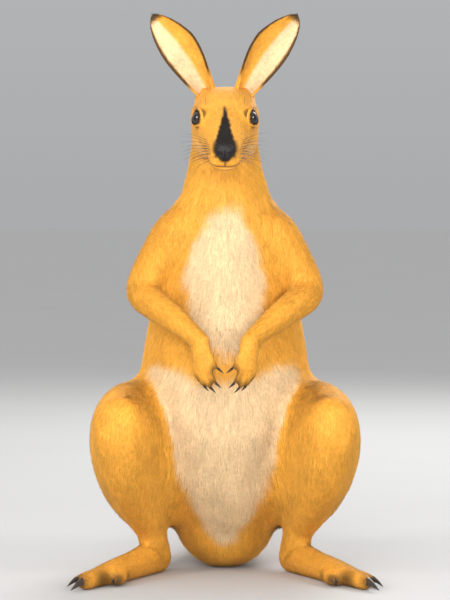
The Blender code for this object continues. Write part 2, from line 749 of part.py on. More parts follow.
def main():
    clear_scene()
    wallaby = new_collection("wallaby")
    scratch = new_collection("scratch")
    body = build_body(wallaby)
    head = copy_of(body, "head", wallaby)
    cut_apart(body, head, *plane(HEAD_CUT))
    thinned(head, HEAD_TRIANGLES)
    thinned(body, BODY_TRIANGLES)
    cut_apart(body, head, *plane(HEAD_CUT))  # thinning has moved the rims of the cut
    boolean(body, beyond((0, 0, 0), (0, 0, -1), scratch), "DIFFERENCE")
    part_face(head, wallaby, scratch)
    part_limbs(body, wallaby, scratch)
    for name, cut in TRUNK_CUTS.items():
        taken_out(body, beyond(*plane(cut), scratch), name, wallaby)
    body.name = "abdomen"
    build_limb_ends(wallaby, scratch)
    for side in ("left", "right"):
        foot = swollen(wallaby.objects["foot_" + side], GAP, "heel", scratch)
        largest_piece(boolean(wallaby.objects["shank_" + side], foot, "DIFFERENCE"))
        skull = swollen(head, GAP, "skull", scratch)
        largest_piece(boolean(wallaby.objects["ear_" + side], skull, "DIFFERENCE"))
    for thing in list(scratch.objects):
        bpy.data.objects.remove(thing)
    finish(wallaby)


main()
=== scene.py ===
"""A life-size museum model of an agile wallaby, sitting up on its hind feet and its tail.

One skin covers the flesh, fur of thin solid tufts grows from it, and the eyes, the nose pad,
the claws and the whiskers are pieces of their own.
"""

import math
from collections import namedtuple

import bmesh
import bpy
import numpy as np
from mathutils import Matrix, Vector
from mathutils.bvhtree import BVHTree
from mathutils.kdtree import KDTree


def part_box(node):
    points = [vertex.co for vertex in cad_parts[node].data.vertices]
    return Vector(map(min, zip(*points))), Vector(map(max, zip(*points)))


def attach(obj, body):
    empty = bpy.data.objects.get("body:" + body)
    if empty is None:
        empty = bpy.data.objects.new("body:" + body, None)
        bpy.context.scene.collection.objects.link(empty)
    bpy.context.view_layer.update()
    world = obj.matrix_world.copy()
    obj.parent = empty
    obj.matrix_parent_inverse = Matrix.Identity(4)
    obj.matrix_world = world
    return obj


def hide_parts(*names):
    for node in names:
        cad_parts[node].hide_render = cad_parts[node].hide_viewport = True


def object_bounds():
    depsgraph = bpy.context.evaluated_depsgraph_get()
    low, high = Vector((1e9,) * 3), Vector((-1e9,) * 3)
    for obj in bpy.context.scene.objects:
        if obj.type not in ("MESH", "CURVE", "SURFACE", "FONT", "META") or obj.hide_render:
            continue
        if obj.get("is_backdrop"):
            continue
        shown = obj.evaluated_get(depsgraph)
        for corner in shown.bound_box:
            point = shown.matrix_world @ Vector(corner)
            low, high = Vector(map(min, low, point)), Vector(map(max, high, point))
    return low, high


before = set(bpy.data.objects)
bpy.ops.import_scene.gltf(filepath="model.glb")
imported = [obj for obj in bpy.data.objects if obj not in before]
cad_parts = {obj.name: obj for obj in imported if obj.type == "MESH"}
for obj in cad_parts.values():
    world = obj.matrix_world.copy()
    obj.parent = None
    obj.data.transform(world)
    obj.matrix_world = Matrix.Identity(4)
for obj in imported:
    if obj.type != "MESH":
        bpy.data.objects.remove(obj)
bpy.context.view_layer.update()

RNG = np.random.default_rng(7)
SIDES = (("_left", 1), ("_right", -1))  # a side of the animal, and its sign across

# ---------------------------------------------------------------- sizes, in metres

VOXEL = 0.0026  # grain of the skin's mesh
COAT_SHARE = 1.0
SWELL = 0.0005  # closes the thin cuts between the CAD nodes
WELD = 0.00001  # corners nearer than this are one

# How many rounds of smoothing: of the CAD's facets, of the coat's fields, at the edges of
# regions, and to find where the coat parts.
FACET_ROUNDS = 16
FIELD_ROUNDS = 24
EDGE_ROUNDS = 6
PARTING_ROUNDS = 90

HEAD_TILT = math.radians(25)  # how far the nose points below the horizon
EYE_PLACE = (0.0755, 0.0266, 0.0125)  # along, out and up in the head's frame
EYE_RADIUS = 0.0125
LID_LONG = 0.80  # half the eye's opening, as angles at the middle of the ball
LID_UPPER = 0.66
LID_LOWER = 0.56
LID_STEPS = 72
LID_RISE = 0.0013  # how far the lids stand over the ball
EYE_SHORT = 0.014  # how far from the ball the coat is shorter
EYE_RAYS = 0.012  # how far from the ball hairs point away from it
NOSE_PLACE = (0.1600, 0.0, 0.0068)
NOSE_MIDDLE = (0.1400, 0.0, 0.0060)  # inside the muzzle, which the pad is seen from
NOSE_WIDE = 0.0118  # half the pad's width at its top and at its bottom
NOSE_NARROW = 0.0068
NOSE_HALF_HEIGHT = 0.0098
NOSE_LEVEL = 0.0052  # how high the pad's middle is
MOUTH_CORNER = (0.0980, -0.0170)  # along and up
MOUTH_FRONT = (0.1560, -0.0125)
MOUTH_GROOVE = 0.0014  # half its width
LIP_CLEFT = 0.146  # how far along the head the upper lip is cleft

NAPE = np.array((0.0, -0.340, 0.598))  # the back of the skull in the shared frame
NAPE_WAY = np.array((0.0, 0.6, 0.8))
NAPE_HUMP = 0.0085  # how much the CAD stands out there
NAPE_REACH = 0.030

EAR_ROOT = (0.0080, 0.0240, 0.0255)
EAR_LENGTH = 0.108
EAR_HALF_WIDTH = 0.0285
EAR_SPLAY = math.radians(36)
EAR_TURN = math.radians(22)
EAR_LEAN = -0.06  # how far it leans forward for each metre up
EAR_SINK = 0.012  # how far its root goes into the head
EAR_THICK = 0.0022
EAR_OWNERS = {1: -1, -1: -2}  # stand for the left and right ear where nodes are numbered

BIB_HALF_WIDTH = 0.043
BELLY_HALF_WIDTH = 0.092
BELLY_TIP = 0.046  # how high the cream's lower tip is
BELLY_SHOULDER = 0.290  # how high the cream is widest
KNEE_BACK = 0.052  # from the front of the thigh's box to the knee
KNEE_DROP = 0.025  # from the top of the thigh's box to the knee

UV_PATCH = 0.003  # how much of the unwrap each tuft's own patch covers
LOCK = 9  # tufts in a lock
LOCK_PULL = 0.22  # how far their tips lean together
FLOOR_GAP = 0.0004  # the lowest that a tuft may reach
FACING = 0.35  # a tip's skin faces its root's way if the cosine between them is over this
PER_SQUARE_METRE = 1e4  # square centimetres

EYE_RINGS, EYE_STEPS = 48, 64
NOSE_RINGS, NOSE_STEPS = 90, 120
LASHES = 22  # on each eye

FLOOR_REACH = 40.0
CAMERA_DISTANCE = 3.6
CAMERA_RISE = math.radians(2.0)
# The drawn animal fills rows 12 to 587 of 600, and the model's feet are nearer than its middle.
SHARE_OF_FRAME = (587 - 12) / 600 * 0.990
AIM_BACK = 0.12  # from the model's front to the point that the camera aims at
AIM_DROP = 0.0036  # from half its height to that point

# How the coat lies on each part: how deep the skin is under the tips, how long and how wide
# a tuft is, how many grow on a square centimetre, and how much of the CAD's facets is
# smoothed away.
Coat = namedtuple("Coat", "depth length width density smoothing")
COATS = {
    "head": Coat(0.0028, 0.0085, 0.00080, 168, 0.55),
    "nose": Coat(0.0014, 0.0030, 0.00065, 170, 0.55),
    "lower_jaw": Coat(0.0022, 0.0050, 0.00070, 170, 0.45),
    "neck": Coat(0.0056, 0.0165, 0.00110, 71, 1.0),
    "chest": Coat(0.0064, 0.0200, 0.00120, 56, 1.0),
    "abdomen": Coat(0.0066, 0.0215, 0.00130, 46, 1.0),
    "tail_root": Coat(0.0054, 0.0180, 0.00132, 33, 1.0),
    "tail_middle": Coat(0.0040, 0.0135, 0.00122, 34, 0.8),
    "tail_tip": Coat(0.0032, 0.0110, 0.00110, 44, 0.6),
    "upper_arm": Coat(0.0052, 0.0145, 0.00108, 54, 0.7),
    "forearm": Coat(0.0034, 0.0105, 0.00090, 72, 0.5),
    "hand": Coat(0.0010, 0.0042, 0.00065, 120, 0.12),
    "thigh": Coat(0.0060, 0.0190, 0.00128, 43, 1.0),
    "shank": Coat(0.0044, 0.0145, 0.00110, 54, 0.7),
    "foot": Coat(0.0014, 0.0052, 0.00080, 68, 0.15),
}
EAR_COAT = Coat(0.0006, 0.0048, 0.00056, 105, 0)
FINE_NODES = ("head", "nose", "lower_jaw", "hand", "foot")  # the skin's mesh is finer there
HEAD_NODES = ("head", "nose", "lower_jaw")

# By how much the coat is cut in length, depth and width, and grown denser, where it is shortest.
FACE_CUT = (0.62, 0.55, 0.25, 0.25)
PARTING_CUT = (0.60, 0.78, 0.25, 0.40)
KNEE_CUT = (0.42, 0.55, 0.22, 0.35)

# ---------------------------------------------------------------- colours, linear

# The root colours are darker: partly the hair's own colour, partly painted shade deep in the coat.
SANDY = (0.880, 0.405, 0.045)
SANDY_ROOT = (0.600, 0.215, 0.018)
SANDY_TIP = (0.940, 0.465, 0.080)
CREAM = (0.880, 0.610, 0.330)
CREAM_ROOT = (0.720, 0.450, 0.220)
CREAM_TIP = (0.920, 0.690, 0.410)
DARK = (0.012, 0.008, 0.006)
NOSE_COLOURS = ((0.004, 0.0035, 0.0035), (0.016, 0.012, 0.011))
IRIS_COLOURS = ((0.004, 0.0018, 0.0010), (0.026, 0.010, 0.004))
PUPIL = (0.0015, 0.0013, 0.0012)
EYE_RIM = (0.010, 0.006, 0.005)
HORN_COLOURS = ((0.010, 0.008, 0.007), (0.060, 0.042, 0.030))
WHISKER_COLOURS = ((0.010, 0.008, 0.007), (0.050, 0.035, 0.025))
FLOOR_COLOURS = ((0.455, 0.450, 0.440), (0.485, 0.480, 0.470))


def base_name(node):
    """The node's name without its side."""
    for end in ("_left", "_right"):
        if node.endswith(end):
            return node[: -len(end)]
    return node


FLESH = sorted(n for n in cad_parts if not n.startswith("eye") and "claw" not in n)
CORE = [n for n in FLESH if not n.startswith("ear")]
CLAWS = sorted(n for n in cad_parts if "claw" in n)


def centre(node):
    low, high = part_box(node)
    return (low + high) / 2


EYE_MIDDLE = (centre("eye_left") + centre("eye_right")) / 2
AHEAD = Vector((0, -math.cos(HEAD_TILT), -math.sin(HEAD_TILT)))
OUT = Vector((1, 0, 0))
UP = Vector((0, -math.sin(HEAD_TILT), math.cos(HEAD_TILT)))
HEAD_ORIGIN = EYE_MIDDLE - AHEAD * EYE_PLACE[0] - UP * EYE_PLACE[2]


def head_point(along, out, up):
    return HEAD_ORIGIN + AHEAD * along + OUT * out + UP * up


def in_head(points):
    """Points as distances along the head, out to its left and up from its axis."""
    turn = np.array((AHEAD, OUT, UP))
    return (points - np.array(HEAD_ORIGIN)) @ turn.T


def eye_middle(side):
    """The middle of one eyeball; side is 1 on the animal's left and -1 on its right."""
    return np.array(head_point(EYE_PLACE[0], side * EYE_PLACE[1], EYE_PLACE[2]))


def eye_distance(points, side):
    return np.linalg.norm(points - eye_middle(side), axis=1)


def owned_by(owner, *names):
    """Whether each owner, a number in CORE, is one of the named nodes."""
    return np.isin(owner, [CORE.index(n) for n in names])


# ---------------------------------------------------------------- small helpers


def smoothstep(low, high, value):
    share = np.clip((value - low) / (high - low), 0, 1)
    return share * share * (3 - 2 * share)


def unit(vectors):
    length = np.linalg.norm(vectors, axis=1, keepdims=True)
    return vectors / np.maximum(length, 1e-9)


def tangent(vectors, normals):
    """The vectors laid flat on the surface, one unit long."""
    along = np.sum(vectors * normals, axis=1, keepdims=True)
    return unit(vectors - normals * along)


def waves(points, scale, seed):
    """Soft noise from -1 to 1 that depends only on the place."""
    rng = np.random.default_rng(seed)
    total = np.zeros(len(points))
    for _ in range(7):
        way = rng.normal(size=3)
        way *= rng.uniform(0.7, 1.5) / (scale * np.linalg.norm(way))
        total += np.sin(2 * math.pi * (points @ way + rng.uniform()))
    return total / 4.2


def new_object(name, mesh):
    thing = bpy.data.objects.new(name, mesh)
    bpy.context.scene.collection.objects.link(thing)
    return thing


def add_piece(name, mesh, material):
    """A visible piece that rides on the body."""
    mesh.materials.append(material)
    thing = new_object(name, mesh)
    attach(thing, "root")
    return thing


def mesh_of(name, points, faces):
    """A mesh from arrays; faces is a list of arrays, each with faces of one size."""
    mesh = bpy.data.meshes.new(name)
    mesh.vertices.add(len(points))
    mesh.vertices.foreach_set("co", np.asarray(points, np.float32).ravel())
    corners = np.concatenate([f.ravel() for f in faces]).astype(np.int32)
    sizes = np.concatenate([np.full(len(f), f.shape[1]) for f in faces])
    starts = np.concatenate([[0], np.cumsum(sizes)[:-1]]).astype(np.int32)
    mesh.loops.add(len(corners))
    mesh.loops.foreach_set("vertex_index", corners)
    mesh.polygons.add(len(sizes))
    mesh.polygons.foreach_set("loop_start", starts)
    mesh.update(calc_edges=True)
    mesh.shade_smooth()
    return mesh


def mesh_from(form, name):
    """A mesh of the form, which is freed."""
    mesh = bpy.data.meshes.new(name)
    form.to_mesh(mesh)
    form.free()
    return mesh


def applied(thing):
    """The thing's mesh with its modifiers applied."""
    bpy.context.view_layer.update()
    ready = thing.evaluated_get(bpy.context.evaluated_depsgraph_get())
    return bpy.data.meshes.new_from_object(ready)


def cad_form(node):
    """A CAD node as a form whose faces share their corners."""
    form = bmesh.new()
    form.from_mesh(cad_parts[node].data)
    bmesh.ops.remove_doubles(form, verts=form.verts, dist=WELD)
    return form


def floats(items, name, width):
    flat = np.empty(len(items) * width, np.float32)
    items.foreach_get(name, flat)
    return flat.reshape(-1, width).astype(float) if width > 1 else flat.astype(float)


def ints(items, name, width):
    flat = np.empty(len(items) * width, np.int32)
    items.foreach_get(name, flat)
    return flat.reshape(-1, width)


def set_marks(mesh, marks):
    """Stores four numbers a vertex for the material: the coat's are pale, dark, tone and tip."""
    layer = mesh.attributes.new("marks", "FLOAT_COLOR", "POINT")
    layer.data.foreach_set("color", np.stack(marks, axis=1).astype(np.float32).ravel())


def faces_by_size(mesh):
    """The mesh's faces as arrays of equal-sided faces."""
    corners = ints(mesh.loops, "vertex_index", 1)[:, 0]
    starts = ints(mesh.polygons, "loop_start", 1)[:, 0]
    sizes = ints(mesh.polygons, "loop_total", 1)[:, 0]
    groups = []
    for size in np.unique(sizes):
        first = starts[sizes == size]
        groups.append(corners[first[:, None] + np.arange(size)])
    return groups


def tree_of(points, faces):
    """A search tree of the faces, which come as arrays of equal-sided faces."""
    polygons = [tuple(face) for group in faces for face in group.tolist()]
    return BVHTree.FromPolygons([Vector(p) for p in points], polygons)


def ball_grid(bend, steps):
    """Angles and faces of a ball: rings at the given bends from its axis, and two caps."""
    turn = np.linspace(0, 2 * math.pi, steps, endpoint=False)
    grid_bend, grid_turn = np.meshgrid(bend, turn, indexing="ij")
    bends = np.concatenate((grid_bend.ravel(), [0.0, math.pi]))
    turns = np.concatenate((grid_turn.ravel(), [0.0, 0.0]))
    index = np.arange(len(bend) * steps).reshape(len(bend), steps)
    after = np.roll(index, -1, axis=1)
    quads = np.stack((index[:-1], index[1:], after[1:], after[:-1]), axis=-1).reshape(-1, 4)
    front = np.full(steps, index.size)
    front_cap = np.stack((front, index[0], after[0]), axis=-1)
    rear_cap = np.stack((front + 1, after[-1], index[-1]), axis=-1)
    return bends, turns, [quads, np.concatenate((front_cap, rear_cap))]


def nose_edge(points):
    """Under 1 on the nose pad, and more beyond its edge."""
    along, out, up = in_head(points).T
    wide = NOSE_NARROW + (NOSE_WIDE - NOSE_NARROW) * smoothstep(-0.0045, 0.0060, up)
    edge = (np.abs(out) / wide) ** 2.5 + (np.abs(up - NOSE_LEVEL) / NOSE_HALF_HEIGHT) ** 2.5
    return np.where(along > NOSE_MIDDLE[0], edge, 9.0)


# ---------------------------------------------------------------- the skin


def gathered(names):
    """The CAD nodes in one form, each swollen a little, and the node that each face is of."""
    whole = bmesh.new()
    owners = []
    for index, name in enumerate(names):
        part = cad_form(name)
        part.normal_update()
        for vertex in part.verts:
            vertex.co += vertex.normal * SWELL
        owners += [index] * len(part.faces)
        mesh = mesh_from(part, "swollen")
        whole.from_mesh(mesh)
        bpy.data.meshes.remove(mesh)
    return whole, np.array(owners)


def remeshed(form):
    """The form, which is freed, as one closed surface of even quads."""
    mesh = mesh_from(form, "core")
    thing = new_object("core", mesh)
    remesh = thing.modifiers.new("Remesh", "REMESH")
    remesh.mode = "VOXEL"
    remesh.voxel_size = VOXEL
    result = applied(thing)
    bpy.data.objects.remove(thing)
    bpy.data.meshes.remove(mesh)
    return result


def nearest_owner(points, tree, owners):
    """The index of the CAD node that each point is nearest to."""
    return np.array([owners[tree.find_nearest(Vector(p))[2]] for p in points])


def refined(mesh, fine):
    """The mesh with the edges between fine vertices halved."""
    form = bmesh.new()
    form.from_mesh(mesh)
    form.verts.ensure_lookup_table()
    edges = [e for e in form.edges if fine[e.verts[0].index] and fine[e.verts[1].index]]
    bmesh.ops.subdivide_edges(form, edges=edges, cuts=1, use_grid_fill=True)
    form.to_mesh(mesh)
    form.free()
    mesh.update()
    return mesh


class Surface:
    """A mesh as arrays, with ways to smooth what lies on it."""

    def __init__(self, mesh):
        self.mesh = mesh
        self.points = floats(mesh.vertices, "co", 3)
        self.edges = ints(mesh.edges, "vertices", 2)
        self.count = len(self.points)
        degree = np.bincount(self.edges.ravel(), minlength=self.count)
        self.degree = np.maximum(degree, 1)
        self.update()

    def update(self):
        self.mesh.vertices.foreach_set("co", self.points.astype(np.float32).ravel())
        self.mesh.update()
        self.normals = floats(self.mesh.vertices, "normal", 3)

    def around(self, values):
        """The mean of each vertex's neighbours."""
        start, end = self.edges.T
        columns = []
        for column in values.reshape(self.count, -1).T:
            total = np.bincount(start, column[end], self.count)
            total += np.bincount(end, column[start], self.count)
            columns.append(total / self.degree)
        return np.array(columns).T.reshape(values.shape)

    def spread(self, values, rounds):
        for _ in range(rounds):
            values = 0.5 * values + 0.5 * self.around(values)
        return values

    def smooth(self, rounds, share):
        for _ in range(rounds):
            self.points += 0.5 * share[:, None] * (self.around(self.points) - self.points)
        self.update()


def hair_ways():
    tail = centre("tail_tip") - centre("tail_middle")
    ways = {
        "neck": Vector((0, 0.30, -0.95)),
        "chest": Vector((0, 0.22, -0.97)),
        "abdomen": Vector((0, 0.20, -0.98)),
        "tail_root": Vector((0, 0.95, -0.30)),
        "tail_middle": tail,
        "tail_tip": tail,
    }
    ways.update({name: -AHEAD for name in HEAD_NODES})
    for side, outward in SIDES:
        ways["upper_arm" + side] = centre("forearm" + side) - centre("upper_arm" + side)
        ways["forearm" + side] = centre("hand" + side) - centre("forearm" + side)
        ways["hand" + side] = Vector((0, -0.12, -0.98))
        ways["thigh" + side] = Vector((0.30 * outward, -0.50, -0.81))
        ways["shank" + side] = Vector((-0.1 * outward, 0.08, -0.99))
        ways["foot" + side] = centre("foot_claw_fourth" + side) - centre("foot" + side)
    return {name: np.array(way.normalized()) for name, way in ways.items()}


def mouth_height(along):
    """How high the line of the mouth is at a distance along the head."""
    share = (along - MOUTH_CORNER[0]) / (MOUTH_FRONT[0] - MOUTH_CORNER[0])
    line = MOUTH_CORNER[1] + (MOUTH_FRONT[1] - MOUTH_CORNER[1]) * share
    smile = 0.0045 * np.clip(1 - share * 2.6, 0, 1.2) ** 2
    droop = -0.0014 * np.clip(np.sin(math.pi * np.clip(share, 0, 1)), 0, 1)
    curl = 0.0026 * (1 - smoothstep(0.146, 0.158, along))
    return line + smile + droop + curl - 0.0010


def sculpted(surface, head_weight):
    """Adds the folds of the face: the mouth, the cleft of the lip, the brows and the cheeks."""
    along, out, up = in_head(surface.points).T
    gap = np.abs(up - mouth_height(along))
    reach = smoothstep(0.090, 0.100, along) * (1 - smoothstep(0.155, 0.160, along))
    groove = np.exp(-((gap / MOUTH_GROOVE) ** 2)) * reach
    lips = np.exp(-(((gap - 0.0034) / 0.0022) ** 2)) * reach
    cleft = np.exp(-((out / 0.0009) ** 2)) * smoothstep(LIP_CLEFT, 0.152, along)
    cleft *= smoothstep(mouth_height(along) - 0.001, mouth_height(along) + 0.002, up)
    brow_gap = np.hypot((along - 0.072) / 0.014, (up - 0.0285) / 0.0070)
    brow = np.exp(-(brow_gap**2)) * smoothstep(0.010, 0.022, np.abs(out))
    cheek_gap = np.hypot((along - 0.104) / 0.020, (up + 0.006) / 0.009)
    pad = np.exp(-(cheek_gap**2))
    lift = 0.0006 * lips - 0.0021 * groove - 0.0014 * cleft + 0.0010 * brow + 0.0008 * pad
    surface.points += surface.normals * (lift * head_weight)[:, None]
    # The back of the skull runs down into the nape without a hump.
    hump = np.exp(-np.sum(((surface.points - NAPE) / NAPE_REACH) ** 2, axis=1))
    surface.points -= np.outer(NAPE_HUMP * hump, NAPE_WAY)
    surface.update()


def eye_angles(points, side):
    """The way to each point from the middle of an eye: off its axis, round it, and how far."""
    middle, outward, rear, up = eye_frame(side)
    way = points - middle
    far = np.linalg.norm(way, axis=1)
    ahead = way @ outward / np.maximum(far, 1e-9)
    return np.arccos(np.clip(ahead, -1, 1)), np.arctan2(way @ up, way @ rear), far


def sink_socket(surface, side):
    """Lays the skin under the ball where the eye is open, and just over it beside that."""
    middle = eye_middle(side)
    bend, turn, far = eye_angles(surface.points, side)
    edge = bend - lid_opening(turn)
    near = (far < EYE_RADIUS + 0.008) & (edge < 0.9)
    sunk = EYE_RADIUS - 0.0016
    share = smoothstep(0.10, 0.34, edge)
    wish = sunk + (np.maximum(far, EYE_RADIUS + 0.0004) - sunk) * share
    ratio = np.where(near, wish / np.maximum(far, 1e-9), 1.0)
    surface.points = middle + (surface.points - middle) * ratio[:, None]
    surface.update()


def cut_coat(fields, share, cuts):
    """Cuts the coat's length, depth and width by a share of each cut, and grows it denser."""
    length, depth, width, density = cuts
    fields["length"] *= 1 - length * share
    fields["depth"] *= 1 - depth * share
    fields["width"] *= 1 - width * share
    fields["density"] *= 1 + density * share


def build_core():
    """The skin of all but the ears, the coat's fields on it, and a search tree of its hull."""
    form, owners = gathered(CORE + ["eye_left", "eye_right"])
    owners = np.where(owners < len(CORE), owners, CORE.index("head"))
    tree = BVHTree.FromBMesh(form)
    mesh = remeshed(form)
    owner = nearest_owner(floats(mesh.vertices, "co", 3), tree, owners)
    fine_nodes = [i for i, n in enumerate(CORE) if base_name(n) in FINE_NODES]
    refined(mesh, np.isin(owner, fine_nodes))
    surface = Surface(mesh)
    owner = nearest_owner(surface.points, tree, owners)
    coats = np.array([COATS[base_name(n)] for n in CORE])[owner]
    share = surface.spread(coats[:, 4], EDGE_ROUNDS)
    surface.smooth(FACET_ROUNDS, share)
    hull = tree_of(surface.points, faces_by_size(mesh))

    depth, length, width, density = surface.spread(coats[:, :4], FIELD_ROUNDS).T.copy()
    is_head = owned_by(owner, *HEAD_NODES)
    head_weight = surface.spread(is_head.astype(float), EDGE_ROUNDS)
    fields = {"owner": owner, "head": head_weight}
    fields.update(depth=depth, length=length, width=width, density=density)
    way = np.array([hair_ways()[n] for n in CORE])[owner]
    from_nose = unit(surface.points - np.array(head_point(*NOSE_PLACE)))
    way = np.where(is_head[:, None], from_nose, way)
    face = smoothstep(0.060, 0.120, in_head(surface.points)[:, 0]) * head_weight
    for side in (-1, 1):
        far = eye_distance(surface.points, side)
        near_eye = 1 - smoothstep(EYE_RADIUS, EYE_RADIUS + EYE_SHORT, far)
        face = np.maximum(face, 0.85 * near_eye * head_weight)
        near_eye = 1 - smoothstep(EYE_RADIUS, EYE_RADIUS + EYE_RAYS, far)
        away = unit(surface.points - eye_middle(side))
        way = way + 1.3 * away * (near_eye * is_head)[:, None]
    way = tangent(way, surface.normals)
    # The coat of the face gets shorter towards the nose and round the eyes.
    cut_coat(fields, face, FACE_CUT)
    # Where the coat parts it is short and close, so that no pit opens.
    together = np.linalg.norm(surface.spread(way, PARTING_ROUNDS), axis=1)
    on_body = 1 - head_weight
    cut_coat(fields, on_body * (1 - smoothstep(0.25, 0.85, together)), PARTING_CUT)
    for side, _ in SIDES:
        low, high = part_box("thigh" + side)
        knee = np.array((centre("shank" + side).x, low.y + KNEE_BACK, high.z - KNEE_DROP))
        gap = np.linalg.norm(surface.points - knee, axis=1)
        cut_coat(fields, (1 - smoothstep(0.030, 0.085, gap)) * on_body, KNEE_CUT)
    for _ in range(6):
        way = tangent(surface.spread(way, 5), surface.normals)
    fields["way"] = way

    surface.points -= surface.normals * fields["depth"][:, None]
    surface.smooth(2, share)
    sculpted(surface, head_weight)
    for side in (-1, 1):
        sink_socket(surface, side)
    return surface, fields, hull


def ear_width(share):
    """Half the ear's width, as a share of its widest, from root to tip."""
    widest = 0.44
    rise = 0.74 + 0.26 * np.sin(np.pi / 2 * np.minimum(share / widest, 1))
    fall = (1 - np.clip((share - widest) / (1 - widest), 0, 1) ** 2.0) ** 0.6
    return np.where(share < widest, rise, fall)


def ear_sheet(side, share, angle_share, offset):
    """Points of the ear's sheet: share runs from root to tip, angle_share from -1 to 1."""
    along = Vector((math.sin(EAR_SPLAY), EAR_LEAN, math.cos(EAR_SPLAY))).normalized()
    facing = Vector((math.sin(EAR_TURN), -math.cos(EAR_TURN), 0.0))
    facing = (facing - along * facing.dot(along)).normalized()
    across = facing.cross(along)
    root = head_point(*EAR_ROOT) - along * EAR_SINK
    roll = np.radians(132 - 88 * np.minimum(1, share / 0.62) ** 0.8)
    half = EAR_HALF_WIDTH * ear_width(share)
    radius = half / roll
    lean = 0.006 * np.sin(np.pi * share)
    angle = roll * angle_share
    out = (np.sin(angle) * (radius + offset) + lean)[:, None]
    front = (radius - np.cos(angle) * (radius + offset))[:, None]
    rise = ((EAR_LENGTH + EAR_SINK) * share)[:, None]
    points = np.array(root) + np.array(along) * rise + np.array(across) * out
    points = points + np.array(facing) * front
    points[:, 0] *= side
    return points


def build_ear(side):
    """One ear's skin, a closed thin sheet, and where on it each point is."""
    rows = 56
    columns = 36
    short_of_tip = 1 - 1e-4
    shares = (1 - (1 - np.linspace(0, 1, rows + 1)) ** 1.5) * short_of_tip
    angles = np.linspace(-1, 1, columns + 1)
    grid_share, grid_angle = np.meshgrid(shares, angles, indexing="ij")
    share = grid_share.ravel()
    angle = grid_angle.ravel()
    rim = np.maximum(np.abs(angle) ** 6, smoothstep(0.90, 1.0, share))
    thick = EAR_THICK / 2 * np.sqrt(np.clip(1 - rim, 0.02, 1)) * (1.5 - 0.5 * share)
    inner = ear_sheet(side, share, angle, -thick)
    outer = ear_sheet(side, share, angle, thick)
    count = len(share)
    index = np.arange(count).reshape(rows + 1, columns + 1)
    quads = np.stack(
        (index[:-1, :-1], index[:-1, 1:], index[1:, 1:], index[1:, :-1]), axis=-1
    ).reshape(-1, 4)
    if side > 0:
        quads = quads[:, ::-1]
    back = quads[:, ::-1] + count
    border = np.concatenate((index[0, :], index[1:, -1], index[-1, -2::-1], index[-2:0:-1, 0]))
    after = np.roll(border, -1)
    edge = np.stack((border, border + count, after + count, after), axis=-1)
    if side > 0:
        edge = edge[:, ::-1]
    faces = np.concatenate((quads, back, edge))
    points = np.concatenate((inner, outer))
    inside = np.concatenate((np.ones(count), np.zeros(count)))
    return points, faces, np.tile(share, 2), np.tile(angle, 2), inside


def eye_frame(side):
    """The middle of one eye and the ways out of it, to its rear and up."""
    outward = (OUT * side * 0.84 + AHEAD * 0.36 + UP * 0.36).normalized()
    rear = (-AHEAD - outward * (-AHEAD).dot(outward)).normalized()
    up = outward.cross(rear)
    if up.dot(UP) < 0:
        up = -up
    return eye_middle(side), np.array(outward), np.array(rear), np.array(up)


def lid_opening(turn):
    """How far the opening's edge is from the eye's axis, round it from its rear corner."""
    cosine = np.cos(turn)
    sine = np.sin(turn)
    height = np.where(sine > 0, LID_UPPER, LID_LOWER)
    tapered = height * (1 - 0.16 * np.abs(cosine) ** 3)
    return 1 / np.sqrt((cosine / LID_LONG) ** 2 + (sine / tapered) ** 2)


def build_lids(side, tree):
    """The two lids of one eye: a soft rim round its opening that runs out into the skin."""
    middle, outward, rear, up = eye_frame(side)
    turns = np.linspace(0, 2 * math.pi, LID_STEPS, endpoint=False)
    opening = lid_opening(turns)

    def ring(extra, radius):
        bend = (opening + extra)[:, None]
        flat = np.cos(turns)[:, None] * rear + np.sin(turns)[:, None] * up
        return middle + radius * (np.cos(bend) * outward + np.sin(bend) * flat)

    rings = [
        ring(0.00, EYE_RADIUS - 0.0004),
        ring(-0.03, EYE_RADIUS + 0.0003),
        ring(-0.02, EYE_RADIUS + 0.0009),
        ring(0.05, EYE_RADIUS + LID_RISE),
    ]
    start = ring(0.14, EYE_RADIUS + LID_RISE)
    wish = ring(0.50, EYE_RADIUS)
    skin = np.array([tree.find_nearest(Vector(p))[:2] for p in wish])
    end = skin[:, 0] - skin[:, 1] * 0.0009
    crest = ring(0.30, EYE_RADIUS + 0.0010)
    for share in np.linspace(0, 1, 7):
        bend = (1 - share) ** 2 * start + 2 * share * (1 - share) * crest + share**2 * end
        rings.append(bend)
    points = np.concatenate(rings)
    count = len(rings)
    index = np.arange(count * LID_STEPS).reshape(count, LID_STEPS)
    after = np.roll(index, -1, axis=1)
    quads = np.stack((index[:-1], after[:-1], after[1:], index[1:]), axis=-1).reshape(-1, 4)
    if side > 0:
        quads = quads[:, ::-1]
    share = np.repeat(np.arange(count) / (count - 1), LID_STEPS)
    return points, quads, share


# ---------------------------------------------------------------- markings


